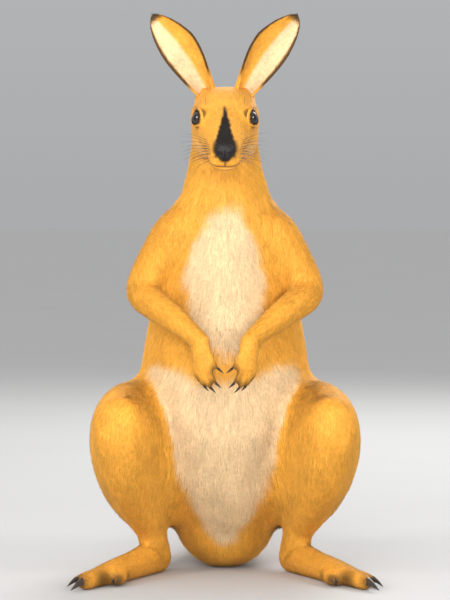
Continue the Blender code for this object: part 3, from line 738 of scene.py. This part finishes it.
def trunk_marks(points, trunk):
    """The cream bib, an oval on the chest, and the cream belly, a shield that ends in a tip."""
    x, y, z = points.T
    wobble = 0.0045 * waves(points, 0.050, 11) + 0.0022 * waves(points, 0.015, 12)
    hand_low, hand_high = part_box("hand_left")
    bib_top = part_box("neck")[0].z - 0.010
    bib_bottom = hand_high.z - 0.016
    rise = (z - (bib_top + bib_bottom) / 2) / ((bib_top - bib_bottom) / 2)
    gap = np.hypot(x / (BIB_HALF_WIDTH * (1 - 0.12 * rise)), rise)
    bib = 1 - smoothstep(-0.006, 0.006, (gap - 1) * 0.042 + wobble)
    belly_top = hand_low.z + 0.018 + np.minimum(4.0 * x**2, 0.014)
    share = np.clip((z - BELLY_TIP) / (BELLY_SHOULDER - BELLY_TIP), 0, 1)
    belly_wide = BELLY_HALF_WIDTH * share**0.52
    belly = 1 - smoothstep(-0.007, 0.007, np.abs(x) - belly_wide + wobble)
    belly *= smoothstep(BELLY_TIP - 0.004, BELLY_TIP + 0.004, z)
    belly *= 1 - smoothstep(-0.006, 0.006, z + wobble - belly_top)
    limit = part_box("chest")[0].y + 0.078 + 0.06 * (1 - smoothstep(0.08, 0.20, z))
    front = 1 - smoothstep(-0.012, 0.012, y - limit + 2 * wobble)
    return np.maximum(bib, belly) * front * trunk


def head_marks(points, head):
    """The pale chin, and the dark wedge on the muzzle, line of the mouth and rims of the eyes."""
    along, out, up = in_head(points).T
    wobble = 0.0010 * waves(points, 0.012, 21)
    share = np.clip((along - 0.080) / (0.150 - 0.080), 0, 1.2)
    half = 0.0010 + 0.0105 * share**1.15
    wedge = 1 - smoothstep(-0.0012, 0.0012, np.abs(out) - half + wobble)
    wedge *= smoothstep(0.078, 0.084, along) * smoothstep(-0.004, 0.002, up)
    mouth = mouth_height(along)
    line = np.exp(-(((up - mouth) / MOUTH_GROOVE) ** 2)) * smoothstep(0.088, 0.096, along)
    cleft = np.exp(-((out / 0.0011) ** 2)) * smoothstep(LIP_CLEFT, 0.150, along)
    cleft *= (up > mouth) * (up < NOSE_LEVEL)
    pad = 1 - smoothstep(1.0, 1.9, nose_edge(points))
    dark = np.maximum.reduce([wedge, 0.9 * line, 0.9 * cleft, pad])
    for side in (-1, 1):
        rim = 1 - smoothstep(EYE_RADIUS, EYE_RADIUS + 0.0024, eye_distance(points, side))
        dark = np.maximum(dark, 0.85 * rim)
    pale = 0.30 * (1 - smoothstep(-0.010, 0.002, up - mouth + 2 * wobble))
    return pale * smoothstep(0.045, 0.100, along) * head, dark * head


def limb_marks(points):
    """The tail's paler underside, and the darker digits and dark tip of the tail."""
    dark = np.zeros(len(points))
    for claw in CLAWS:
        far = np.linalg.norm(points - np.array(centre(claw)), axis=1)
        reach = 0.020 if "hand" in claw else 0.030
        dark = np.maximum(dark, 0.75 * (1 - smoothstep(0.35 * reach, reach, far)))
    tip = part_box("tail_tip")[1].y
    dark = np.maximum(dark, 0.9 * smoothstep(tip - 0.050, tip - 0.012, points[:, 1]))
    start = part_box("tail_middle")[0].y
    under = 1 - smoothstep(0.006, 0.026, points[:, 2])
    return 0.5 * under * smoothstep(start - 0.05, start + 0.05, points[:, 1]), dark


def core_marks(points, fields):
    """Pale and dark at each point of the skin."""
    head_pale, head_dark = head_marks(points, fields["head"])
    limb_pale, limb_dark = limb_marks(points)
    pale = np.maximum.reduce([trunk_marks(points, fields["trunk"]), head_pale, limb_pale])
    return np.clip(pale, 0, 1), np.clip(np.maximum(head_dark, limb_dark), 0, 1)


def body_tone(points, normals):
    """Large soft patches, and a deeper back: from -1 to 1."""
    tone = 0.16 * waves(points, 0.16, 31) + 0.16 * waves(points, 0.05, 32)
    back = smoothstep(0.2, 0.9, normals[:, 1]) * smoothstep(0.03, 0.12, points[:, 2])
    return tone - 0.45 * back


# ---------------------------------------------------------------- materials


class Tree:
    """A material and a short way to add nodes to it."""

    def __init__(self, name):
        self.material = bpy.data.materials.new(name)
        self.material.use_nodes = True
        self.nodes = self.material.node_tree.nodes
        self.links = self.material.node_tree.links
        self.shader = self.nodes["Principled BSDF"]

    def add(self, kind, settings=None, **inputs):
        node = self.nodes.new(kind)
        for key, value in (settings or {}).items():
            setattr(node, key, value)
        for key, value in inputs.items():
            self.put(node, key, value)
        return node

    def put(self, node, key, value):
        """Sets or links one input, i0, i1 and so on by number, others by name."""
        by_number = key[0] == "i" and key[1:].isdigit()
        socket = node.inputs[int(key[1:]) if by_number else key.replace("_", " ")]
        if isinstance(value, bpy.types.NodeSocket):
            self.links.new(value, socket)
        else:
            socket.default_value = (*value, 1) if isinstance(value, tuple) else value

    def math(self, operation, first, second=0.0):
        return self.add("ShaderNodeMath", {"operation": operation}, i0=first, i1=second).outputs[0]

    def scaled(self, value, factor, offset):
        return self.math("ADD", self.math("MULTIPLY", value, factor), offset)

    def mix(self, share, first, second):
        node = self.add("ShaderNodeMix", {"data_type": "RGBA"}, i0=share, i6=first, i7=second)
        return node.outputs[2]

    def step(self, low, high, value):
        """Soft, from 0 where the value is low to 1 where it is high."""
        settings = {"interpolation_type": "SMOOTHSTEP"}
        node = self.add("ShaderNodeMapRange", settings, Value=value, From_Min=low, From_Max=high)
        return node.outputs[0]

    def noise(self, scale, detail, where=None):
        where = where or self.place()
        node = self.add("ShaderNodeTexNoise", Scale=scale, Detail=detail, Vector=where)
        return node.outputs["Fac"]

    def place(self):
        return self.add("ShaderNodeTexCoord").outputs["Object"]

    def marks(self):
        """The four numbers that set_marks stored."""
        node = self.add("ShaderNodeAttribute", {"attribute_name": "marks"})
        parts = self.add("ShaderNodeSeparateColor", Color=node.outputs["Color"])
        return (*parts.outputs, node.outputs["Alpha"])

    def bump(self, height, strength, distance):
        node = self.add("ShaderNodeBump", Height=height, Strength=strength, Distance=distance)
        self.links.new(node.outputs["Normal"], self.shader.inputs["Normal"])

    def finish(self, **values):
        for key, value in values.items():
            self.put(self.shader, key, value)
        return self.material


def fur_material(name, on_skin):
    """The coat's colours from its marks: sandy, cream or dark, deeper at the root, partly as
    painted shade.
    """
    tree = Tree(name)
    pale, dark, tone, tip = tree.marks()
    grain = tree.noise(260.0, 2.0)
    patch = tree.noise(28.0, 3.0)
    high = tree.math("MULTIPLY", tree.math("POWER", tip, 3.0), 0.55)
    sandy = tree.mix(high, tree.mix(tip, SANDY_ROOT, SANDY), SANDY_TIP)
    cream = tree.mix(high, tree.mix(tip, CREAM_ROOT, CREAM), CREAM_TIP)
    colour = tree.mix(dark, tree.mix(pale, sandy, cream), DARK)
    shade = 1.0
    for value, share in ((grain, 0.38), (patch, 0.36), (tone, 0.55)):
        shade = tree.math("ADD", tree.scaled(value, share, -0.5 * share), shade)
    tinted = tree.add("ShaderNodeHueSaturation", Color=colour, Value=shade)
    if on_skin:
        tree.bump(tree.noise(900.0, 2.0), 0.5, 0.0006)
    return tree.finish(
        Base_Color=tinted.outputs["Color"],
        Roughness=tree.scaled(grain, 0.25, 0.50),
        Specular_IOR_Level=0.18,
        Sheen_Weight=0.03,
        Sheen_Roughness=0.5,
    )


def nose_material():
    """Moist black leather with fine pebbles."""
    tree = Tree("nose_leather")
    cells = tree.add("ShaderNodeTexVoronoi", Scale=900.0, Vector=tree.place())
    grain = tree.noise(120.0, 4.0)
    tree.bump(tree.scaled(cells.outputs["Distance"], -1.0, grain), 0.55, 0.0005)
    return tree.finish(
        Base_Color=tree.mix(grain, *NOSE_COLOURS),
        Roughness=tree.scaled(grain, 0.25, 0.30),
        Specular_IOR_Level=0.22,
    )


def eye_material():
    """A dark brown eye: black pupil, a fibrous iris, and a wet surface."""
    tree = Tree("eye_wet")
    ray, ring, _, _ = tree.marks()
    across = tree.math("MULTIPLY", ray, 60.0)
    outward = tree.math("MULTIPLY", ring, 3.0)
    spread = tree.add("ShaderNodeCombineXYZ", X=across, Y=outward)
    fibres = tree.noise(1.0, 4.0, spread.outputs[0])
    colour = tree.mix(tree.step(0.40, 0.47, ring), PUPIL, tree.mix(fibres, *IRIS_COLOURS))
    colour = tree.mix(tree.step(0.80, 0.95, ring), colour, EYE_RIM)
    return tree.finish(
        Base_Color=colour,
        Roughness=0.30,
        Specular_IOR_Level=0.1,
        Coat_Weight=1.0,
        Coat_Roughness=0.02,
    )


def horn_material():
    """Claw horn: near black, browner in places, with fine streaks."""
    tree = Tree("claw_horn")
    streaks = tree.noise(420.0, 4.0)
    tree.bump(streaks, 0.35, 0.0003)
    return tree.finish(
        Base_Color=tree.mix(tree.noise(60.0, 2.0), *HORN_COLOURS),
        Roughness=tree.scaled(streaks, 0.22, 0.24),
        Specular_IOR_Level=0.5,
    )


def whisker_material():
    tree = Tree("whisker_hair")
    colour = tree.mix(tree.noise(300.0, 2.0), *WHISKER_COLOURS)
    return tree.finish(Base_Color=colour, Roughness=0.35)


def floor_material():
    tree = Tree("pale_floor")
    colour = tree.mix(tree.noise(3.0, 4.0), *FLOOR_COLOURS)
    return tree.finish(Base_Color=colour, Roughness=0.75)


# ---------------------------------------------------------------- the coat


def root_shade(length):
    """How far from root to tip a tuft's colour starts: short coats are nearly even, and the darker
    root of long coats is partly painted shade.
    """
    return 0.42 - 0.14 * smoothstep(0.004, 0.015, length)


def length_tone(length):
    """Long coats shade themselves, so they are a little lighter than short ones."""
    return 0.25 * smoothstep(0.004, 0.018, length) - 0.20


def unwrapped(points, triangles):
    """An unwrap of a patch of skin that fills the square: one place per triangle corner."""
    used, corners = np.unique(triangles, return_inverse=True)
    mesh = mesh_of("patch", points[used], [corners.reshape(-1, 3)])
    thing = new_object("patch", mesh)
    bpy.context.view_layer.objects.active = thing
    thing.select_set(True)
    bpy.ops.object.mode_set(mode="EDIT")
    bpy.ops.mesh.select_all(action="SELECT")
    bpy.ops.uv.smart_project(angle_limit=math.radians(75), island_margin=0.003)
    bpy.ops.object.mode_set(mode="OBJECT")
    uv = floats(mesh.uv_layers.active.data, "uv", 2)
    bpy.data.objects.remove(thing)
    bpy.data.meshes.remove(mesh)
    low = uv.min(axis=0)
    high = uv.max(axis=0)
    uv = 0.01 + 0.98 * (uv - low) / (high - low)
    return uv.reshape(-1, 3, 2)


def tuft_tips(tree, normal, wish, lift):
    """Tips over the skin nearest to where they wish to be, and how that skin faces."""
    tip = np.empty_like(wish)
    tip_normal = np.empty_like(wish)
    for i, place in enumerate(wish):
        found, face_normal, _, _ = tree.find_nearest(Vector(place))
        tip[i] = np.array(found) + np.array(face_normal) * lift[i]
        tip_normal[i] = face_normal
    # Where the nearest skin faces elsewhere, as in an eye's socket, the tip keeps to its root's.
    astray = np.sum(tip_normal * normal, axis=1) < FACING
    tip[astray] = (wish + normal * lift[:, None])[astray]
    tip_normal[astray] = normal[astray]
    return tip, tip_normal


def lock_leaders(root):
    """For each tuft, the one near it that its lock leans to."""
    leaders = RNG.choice(len(root), max(1, len(root) // LOCK), replace=False)
    finder = KDTree(len(leaders))
    for k, leader in enumerate(leaders):
        finder.insert(root[leader], k)
    finder.balance()
    return np.array([leaders[finder.find(r)[1]] for r in root])


def grow(name, skin, chosen, material):
    """A coat piece on the chosen triangles of the skin, made of thin three-sided tufts."""
    triangles = skin["triangles"][chosen]
    points = skin["points"]
    corners = points[triangles]
    edges = corners[:, 1:] - corners[:, :1]
    area = np.linalg.norm(np.cross(edges[:, 0], edges[:, 1]), axis=1) / 2
    density = skin["density"][triangles].mean(axis=1) * PER_SQUARE_METRE * COAT_SHARE
    hits = np.floor(area * density + RNG.random(len(area))).astype(int)
    which = np.repeat(np.arange(len(area)), hits)
    count = len(which)
    first = np.sqrt(RNG.random(count))
    second = RNG.random(count)
    weights = np.stack((1 - first, first * (1 - second), first * second), axis=1)

    def at_roots(values):
        picked = values[triangles[which]]
        return np.sum(picked * (weights if picked.ndim == 2 else weights[:, :, None]), axis=1)

    uv = np.sum(unwrapped(points, triangles)[which] * weights[:, :, None], axis=1)
    root = at_roots(points)
    normal = unit(at_roots(skin["normals"]))
    way = tangent(at_roots(skin["way"]), normal)
    way = unit(way + np.cross(normal, way) * 0.16 * RNG.normal(size=count)[:, None])
    side = np.cross(normal, way)
    length = at_roots(skin["length"]) * RNG.uniform(0.75, 1.15, count)
    width = at_roots(skin["width"]) * RNG.uniform(0.8, 1.25, count) / math.sqrt(COAT_SHARE)
    depth = at_roots(skin["depth"])
    wish = root + way * (length * 0.95)[:, None]
    lift = depth * RNG.uniform(0.70, 1.0, count)
    tip, tip_normal = tuft_tips(skin["tree"], normal, wish, lift)
    lock = lock_leaders(root)
    pull = (LOCK_PULL * RNG.uniform(0.4, 1.3, count))[:, None]
    offset = tip[lock] - tip
    reach = np.linalg.norm(offset, axis=1, keepdims=True)
    tip += offset * np.minimum(1, length[:, None] * 0.5 / np.maximum(reach, 1e-6)) * pull
    tone = at_roots(skin["tone"]) + 0.25 * RNG.normal(size=count)
    tone += 0.22 * RNG.normal(size=count)[lock]

    sunk = root - normal * (np.minimum(0.0005, depth * 0.5))[:, None]
    wide = side * (width / 2)[:, None]
    crest = sunk + normal * (width * 0.5)[:, None]
    verts = np.stack((sunk - wide, sunk + wide, crest, tip), axis=1).reshape(-1, 3)
    verts[:, 2] = np.maximum(verts[:, 2], FLOOR_GAP)
    pattern = np.array([(0, 1, 3), (1, 2, 3), (2, 0, 3), (0, 2, 1)])
    faces = (np.arange(count)[:, None, None] * 4 + pattern[None]).reshape(-1, 3)
    mesh = mesh_of(name, verts, [faces])
    # The light falls on a tuft as on the body under it, and a little as on a round hair.
    turned = normal + 0.16 * RNG.normal(size=(count, 3))
    shown = (turned - 0.7 * side, turned + 0.7 * side, turned, tip_normal + 0.10 * way)
    shown = np.stack([unit(n) for n in shown], axis=1).reshape(-1, 3)
    mesh.normals_split_custom_set_from_vertices(shown.tolist())
    pale, dark, low = (at_roots(skin[key]) for key in ("pale", "dark", "root"))
    # Tufts are darker at the root, partly as painted shade in the coat, and reach the tip colour
    # at their tips.
    shares = np.stack((low, low, low + 0.06, np.ones(count)), axis=1).ravel()
    marks = [np.repeat(values, 4) for values in (pale, dark, np.clip(0.5 + 0.5 * tone, 0, 1))]
    set_marks(mesh, (*marks, shares))
    patch = np.array([(-0.5, -0.5), (0.5, -0.5), (0, -0.5), (0, 0.5)]) * UV_PATCH
    patch_uv = (uv[:, None, :] + patch[None]).reshape(-1, 2)
    layer = mesh.uv_layers.new(name="OFBake")
    layer.data.foreach_set("uv", patch_uv[faces.ravel()].astype(np.float32).ravel())
    add_piece(name, mesh, material)


# ---------------------------------------------------------------- building


def core_block(core, fields):
    """What the coat needs to know on all of the skin but the ears and the lids."""
    points = core.points
    is_trunk = owned_by(fields["owner"], "neck", "chest", "abdomen")
    fields["trunk"] = smoothstep(0.35, 0.65, core.spread(is_trunk.astype(float), 3))
    pale, dark = core_marks(points, fields)
    # No fur grows on the nose pad, in the mouth, at the eyes or under what rests on the floor.
    along, _, up = in_head(points).T
    density = fields["density"] * smoothstep(0.95, 1.15, nose_edge(points))
    in_mouth = (np.abs(up - mouth_height(along)) < 0.0011) & (along > 0.094)
    density[in_mouth & (fields["head"] > 0.5)] = 0
    for side in (-1, 1):
        far = eye_distance(points, side)
        density *= smoothstep(EYE_RADIUS + 0.0012, EYE_RADIUS + 0.0022, far)
    density *= smoothstep(0.0006, 0.0022, points[:, 2])
    block = {key: fields[key] for key in ("way", "length", "width", "depth", "owner")}
    tone = body_tone(points, core.normals) + length_tone(fields["length"])
    block.update(points=points, density=density, pale=pale, dark=dark, tone=tone)
    block["root"] = root_shade(fields["length"])
    return block


def ear_block(side):
    """One ear's faces, and what the coat needs to know on it."""
    points, faces, share, angle, inside = build_ear(side)
    rim = np.maximum(smoothstep(0.80, 0.93, np.abs(angle)), smoothstep(0.90, 0.96, share))
    tall = np.array((side * math.sin(EAR_SPLAY), EAR_LEAN, math.cos(EAR_SPLAY)))
    even = np.ones(len(points))
    return faces, {
        "points": points,
        "way": tall + np.outer(0.5 * rim * np.sign(angle), (side, 0, 0)),
        "length": EAR_COAT.length * (1 + 0.5 * inside * (1 - share)),
        "width": EAR_COAT.width * even,
        "density": EAR_COAT.density * even,
        "depth": EAR_COAT.depth + 0.0004 * inside * (1 - rim),
        "pale": inside * (1 - smoothstep(-0.12, 0.08, angle)) * (1 - rim),
        "dark": 0.92 * rim * smoothstep(0.12, 0.25, share),
        # The ear is a little darker all over, painted shade like the other short coats get in
        # length_tone; inside, it also darkens towards the root.
        "tone": 0.2 * waves(points, 0.03, 41) - 0.2 * inside * (1 - share) - 0.2,
        "root": 0.55 * even,
        "owner": np.full(len(points), EAR_OWNERS[side]),
    }


def lid_block(side, tree):
    """The faces of one eye's lids, and what the coat needs to know on them."""
    points, faces, share = build_lids(side, tree)
    even = np.ones(len(points))
    return faces, {
        "points": points,
        "way": unit(points - eye_middle(side)),
        "length": 0.0022 + 0.0012 * share,
        "width": 0.00070 * even,
        "density": 190 * smoothstep(0.42, 0.55, share),
        "depth": 0.0007 * even,
        "pale": 0 * even,
        "dark": 1 - smoothstep(0.38, 0.62, share),
        "tone": -0.3 * even,
        "root": 0.6 * even,
        "owner": np.full(len(points), CORE.index("head")),
    }


def build_skin():
    """The skin's object; its arrays, with all that the coat needs; and the hull's tree."""
    core, fields, hull = build_core()
    faces = faces_by_size(core.mesh)
    core_tree = tree_of(core.points, faces)
    blocks = [core_block(core, fields)]
    more = [ear_block(side) for side in (1, -1)] + [lid_block(side, core_tree) for side in (1, -1)]
    for block_faces, block in more:
        faces.append(block_faces + sum(len(b["points"]) for b in blocks))
        blocks.append(block)
    skin = {key: np.concatenate([b[key] for b in blocks]) for key in blocks[0]}
    mesh = mesh_of("skin", skin["points"], faces)
    skin["normals"] = floats(mesh.vertices, "normal", 3)
    skin["way"] = tangent(skin["way"], skin["normals"])
    mesh.calc_loop_triangles()
    skin["triangles"] = ints(mesh.loop_triangles, "vertices", 3)
    skin["tree"] = tree_of(skin["points"], [skin["triangles"]])
    tone = np.clip(0.5 + 0.5 * skin["tone"], 0, 1)
    # The skin is coloured nearly as the tufts' roots, so the gaps between tufts show the same
    # partly painted shade.
    set_marks(mesh, (skin["pale"], skin["dark"], tone, skin["root"] + 0.05))
    thing = add_piece("skin", mesh, fur_material("coat_skin", True))
    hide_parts(*FLESH)
    return skin, hull


def build_coat(skin):
    """All coat pieces, each on its own parts of the body."""
    material = fur_material("coat_fur", False)
    owner = skin["owner"][skin["triangles"]][:, 0]
    middle = skin["points"][skin["triangles"]].mean(axis=1)
    pale = skin["pale"][skin["triangles"]].mean(axis=1) > 0.5
    face = in_head(middle)[:, 0] > 0.062
    left = middle[:, 0] > 0
    halves = (("_left", left), ("_right", ~left))

    def on(*names):
        return owned_by(owner, *names)

    head = on(*HEAD_NODES)
    trunk = on("abdomen") & ~pale
    pieces = [("face" + name, head & half & face) for name, half in halves]
    pieces += [("crown" + name, head & half & ~face) for name, half in halves]
    pieces += [("ear" + name, owner == EAR_OWNERS[side]) for name, side in SIDES]
    pieces += [("neck", on("neck") & ~pale), ("chest", on("chest") & ~pale)]
    pieces += [("bib", on("neck", "chest") & pale), ("belly", on("abdomen") & pale)]
    pieces += [("flank" + name, trunk & half) for name, half in halves]
    pieces += [("tail_root", on("tail_root")), ("tail", on("tail_middle", "tail_tip"))]
    for side, _ in SIDES:
        arm = on("upper_arm" + side, "forearm" + side, "hand" + side)
        pieces += [("arm" + side, arm), ("thigh" + side, on("thigh" + side))]
        pieces.append(("leg" + side, on("shank" + side, "foot" + side)))
    for name, chosen in pieces:
        grow("coat_" + name, skin, chosen, material)


def build_eyes():
    """The eyeballs, each a little fuller at the cornea."""
    material = eye_material()
    for name, side in SIDES:
        place, outward, rear, up = eye_frame(side)
        bend, turn, faces = ball_grid(np.linspace(0, math.pi, EYE_RINGS + 1)[1:-1], EYE_STEPS)
        cornea = 0.0007 * smoothstep(0.75, 0.20, bend)
        radius = (EYE_RADIUS - 0.0001 + cornea)[:, None]
        flat = np.cos(turn)[:, None] * rear + np.sin(turn)[:, None] * up
        points = place + radius * (np.cos(bend)[:, None] * outward + np.sin(bend)[:, None] * flat)
        if side < 0:
            faces = [group[:, ::-1] for group in faces]
        mesh = mesh_of("eyeball" + name, points, faces)
        ray = 0.5 + 0.5 * np.sin(turn)
        ring = np.clip(bend / 0.85, 0, 1)
        set_marks(mesh, (ray, ring, 0 * ray, 1 + 0 * ray))
        thing = add_piece("eyeball" + name, mesh, material)
        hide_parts("eye" + name)


def build_nose(hull):
    """The nose pad: leathery, on the muzzle's end, with comma-shaped nostrils and a cleft."""
    bend = np.linspace(0, math.pi, NOSE_RINGS + 1)[1:-1] ** 1.35  # closer in front
    bend *= math.pi * (NOSE_RINGS - 1) / NOSE_RINGS / bend[-1]
    bend, turn, faces = ball_grid(bend, NOSE_STEPS)
    flat = (np.sin(bend) * np.cos(turn), np.sin(bend) * np.sin(turn))
    ways = np.stack((np.cos(bend), *flat), axis=1) @ np.array((AHEAD, OUT, UP))
    middle = head_point(*NOSE_MIDDLE)
    reach = np.array([hull.ray_cast(middle, Vector(way))[3] or 0.0 for way in ways])
    hit = np.array(middle) + ways * reach[:, None]
    _, out, up = in_head(hit).T
    wide = np.abs(out)
    nostril = np.exp(-(((wide - 0.0064) / 0.0024) ** 2) - ((up - 0.0036) / 0.0019) ** 2)
    bow = up - 0.0046 - 0.35 * (wide - 0.0085)
    slit = np.exp(-(((wide - 0.0092) / 0.0020) ** 2) - (bow / 0.0008) ** 2)
    wing = np.exp(-(((wide - 0.0076) / 0.0030) ** 2) - ((up - 0.0078) / 0.0018) ** 2)
    cleft = np.exp(-((out / 0.0006) ** 2)) * (1 - smoothstep(0.0050, 0.0095, up))
    lift = 0.0006 * wing - 0.0036 * nostril - 0.0016 * slit - 0.0009 * cleft + 0.0002
    beyond = smoothstep(0.80, 1.25, nose_edge(hit))
    lift = lift * (1 - beyond) - 0.0030 * beyond
    radius = np.where(bend < 1.2, reach + lift, 0.006)
    points = np.array(middle) + ways * radius[:, None]
    mesh = mesh_of("nose_pad", points, faces)
    add_piece("nose_pad", mesh, nose_material())


def build_claws():
    """Each claw smoothed from its CAD node and fitted back to that node's box."""
    material = horn_material()
    for node in CLAWS:
        thing = new_object(node + "_horn", mesh_from(cad_form(node), node + "_horn"))
        rounding = thing.modifiers.new("Subdivision", "SUBSURF")
        rounding.levels = 2
        rounding.render_levels = 2
        smooth = applied(thing)
        thing.modifiers.clear()
        thing.data = smooth
        points = floats(smooth.vertices, "co", 3)
        low, high = (np.array(v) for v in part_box(node))
        size = points.max(axis=0) - points.min(axis=0)
        points = low + (points - points.min(axis=0)) / size * (high - low)
        smooth.vertices.foreach_set("co", points.astype(np.float32).ravel())
        smooth.shade_smooth()
        smooth.update()
        smooth.materials.clear()
        smooth.materials.append(material)
        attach(thing, "root")
        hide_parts(node)


def thin_hair(root, way, droop, length, radius, steps=6, sides=4):
    """Points and faces of one tapered hair that bends down."""
    way = Vector(way).normalized()
    side = way.cross(Vector((0, 0, 1))).normalized()
    top = side.cross(way)
    points = []
    for i in range(steps):
        share = i / (steps - 1)
        place = Vector(root) + way * length * share + Vector((0, 0, -1)) * droop * share**2
        thin = radius * (1 - 0.85 * share)
        for k in range(sides):
            turn = 2 * math.pi * k / sides
            points.append(place + (side * math.cos(turn) + top * math.sin(turn)) * thin)
    faces = []
    for i in range(steps - 1):
        for k in range(sides):
            a = i * sides + k
            b = i * sides + (k + 1) % sides
            faces.append((a, b, b + sides, a + sides))
    faces.append(tuple(range(sides))[::-1])
    faces.append(tuple((steps - 1) * sides + k for k in range(sides)))
    return points, faces


def hair_piece(name, hairs, material):
    """All hairs of one kind as one piece."""
    points = []
    faces = []
    for hair_points, hair_faces in hairs:
        start = len(points)
        points += hair_points
        faces += [tuple(start + i for i in f) for f in hair_faces]
    mesh = mesh_of(name, np.array(points), [np.array(faces)])
    add_piece(name, mesh, material)


def build_whiskers(skin):
    """Rows of whiskers on the muzzle, a few over each eye, and the lashes."""
    material = whisker_material()

    def whisker(place, outward, back, down, *shape):
        place, normal, _, _ = skin["tree"].find_nearest(head_point(*place))
        way = normal * outward - AHEAD * back - UP * down
        return thin_hair(place - normal * 0.001, way, *shape)

    hairs = []
    for side in (-1, 1):
        for row in range(4):
            for column in range(5):
                along = 0.122 + 0.0062 * column + 0.002 * (row % 2)
                place = (along, side * 0.030, 0.006 - 0.005 * row)
                length = 0.046 - 0.004 * column + 0.004 * RNG.uniform(-1, 1)
                back = 0.95 - 0.16 * column
                hairs.append(whisker(place, 0.9, back, 0.12 * row, 0.010, length, 0.00022))
        for k in range(3):
            place = (0.066 + 0.006 * k, side * 0.024, 0.040)
            hairs.append(whisker(place, 0.8, 0.8, 0.0, 0.004, 0.016, 0.00014))
    hair_piece("whiskers", hairs, material)
    lashes = []
    for side in (-1, 1):
        place, outward, rear, up = eye_frame(side)
        for k in range(LASHES):
            turn = math.radians(24 + 132 * k / (LASHES - 1))
            bend = float(lid_opening(np.array([turn]))[0]) + 0.02
            flat = rear * math.cos(turn) + up * math.sin(turn)
            edge = outward * math.cos(bend) + flat * math.sin(bend)
            root = place + edge * (EYE_RADIUS + 0.0009)
            way = outward * 0.75 + flat * 0.9 + rear * 0.15
            length = 0.0052 + 0.0012 * RNG.uniform()
            lashes.append(thin_hair(root, way, -0.0012, length, 0.00016))
    hair_piece("lashes", lashes, material)


# ---------------------------------------------------------------- the stage


def build_stage():
    """A pale floor, a soft grey studio that is lighter overhead, and five wide lamps."""
    form = bmesh.new()
    bmesh.ops.create_grid(form, x_segments=8, y_segments=8, size=FLOOR_REACH)
    mesh = mesh_from(form, "floor")
    mesh.materials.append(floor_material())
    new_object("floor", mesh)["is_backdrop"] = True

    world = bpy.data.worlds.new("studio")
    world.use_nodes = True
    nodes = world.node_tree.nodes
    links = world.node_tree.links
    nodes["Background"].inputs["Color"].default_value = (0.97, 0.98, 1.0, 1)
    place = nodes.new("ShaderNodeTexCoord")
    split = nodes.new("ShaderNodeSeparateXYZ")
    ramp = nodes.new("ShaderNodeMapRange")
    ramp.inputs["To Min"].default_value = 0.42  # at the horizon, where the floor ends
    ramp.inputs["To Max"].default_value = 1.0  # overhead
    links.new(place.outputs["Generated"], split.inputs[0])
    links.new(split.outputs["Z"], ramp.inputs["Value"])
    links.new(ramp.outputs[0], nodes["Background"].inputs["Strength"])
    bpy.context.scene.world = world
    bpy.context.scene.view_settings.view_transform = "Standard"

    aim = Vector((0, -0.25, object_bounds()[1][2] * 0.5))
    lamps = [  # name, place, size in metres and power in watts
        ("front", (-0.7, -3.3, 1.5), 1.4, 58),
        ("left", (2.5, -2.1, 1.5), 0.9, 32),
        ("right", (-2.5, -2.1, 1.5), 0.9, 44),
        ("back", (0.8, 2.2, 2.2), 1.5, 60),
        ("low", (0.3, -3.3, 0.35), 1.2, 56),
    ]
    for name, place, size, power in lamps:
        light = bpy.data.lights.new(name, "AREA")
        light.shape = "SQUARE"
        light.size = size
        light.energy = power
        lamp = bpy.data.objects.new(name, light)
        bpy.context.scene.collection.objects.link(lamp)
        lamp.location = place
        lamp.rotation_euler = (aim - Vector(place)).to_track_quat("-Z", "Y").to_euler()


def build_camera():
    """Straight in front, level with the animal's middle, as far off as a portrait lens."""
    low, high = (Vector(v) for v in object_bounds())
    aim = Vector((0, low.y + AIM_BACK, (low.z + high.z) / 2 - AIM_DROP))
    camera = bpy.data.cameras.new("camera")
    camera.sensor_fit = "VERTICAL"
    camera.sensor_height = 24
    seen = (high.z - low.z) / SHARE_OF_FRAME
    camera.lens = camera.sensor_height * CAMERA_DISTANCE / seen
    thing = bpy.data.objects.new("camera", camera)
    bpy.context.scene.collection.objects.link(thing)
    away = Vector((0, -math.cos(CAMERA_RISE), math.sin(CAMERA_RISE)))
    thing.location = aim + away * CAMERA_DISTANCE
    thing.rotation_euler = (aim - thing.location).to_track_quat("-Z", "Y").to_euler()
    bpy.context.scene.camera = thing


def main():
    skin, hull = build_skin()
    build_coat(skin)
    build_eyes()
    build_nose(hull)
    build_claws()
    build_whiskers(skin)
    build_camera()
    build_stage()


main()
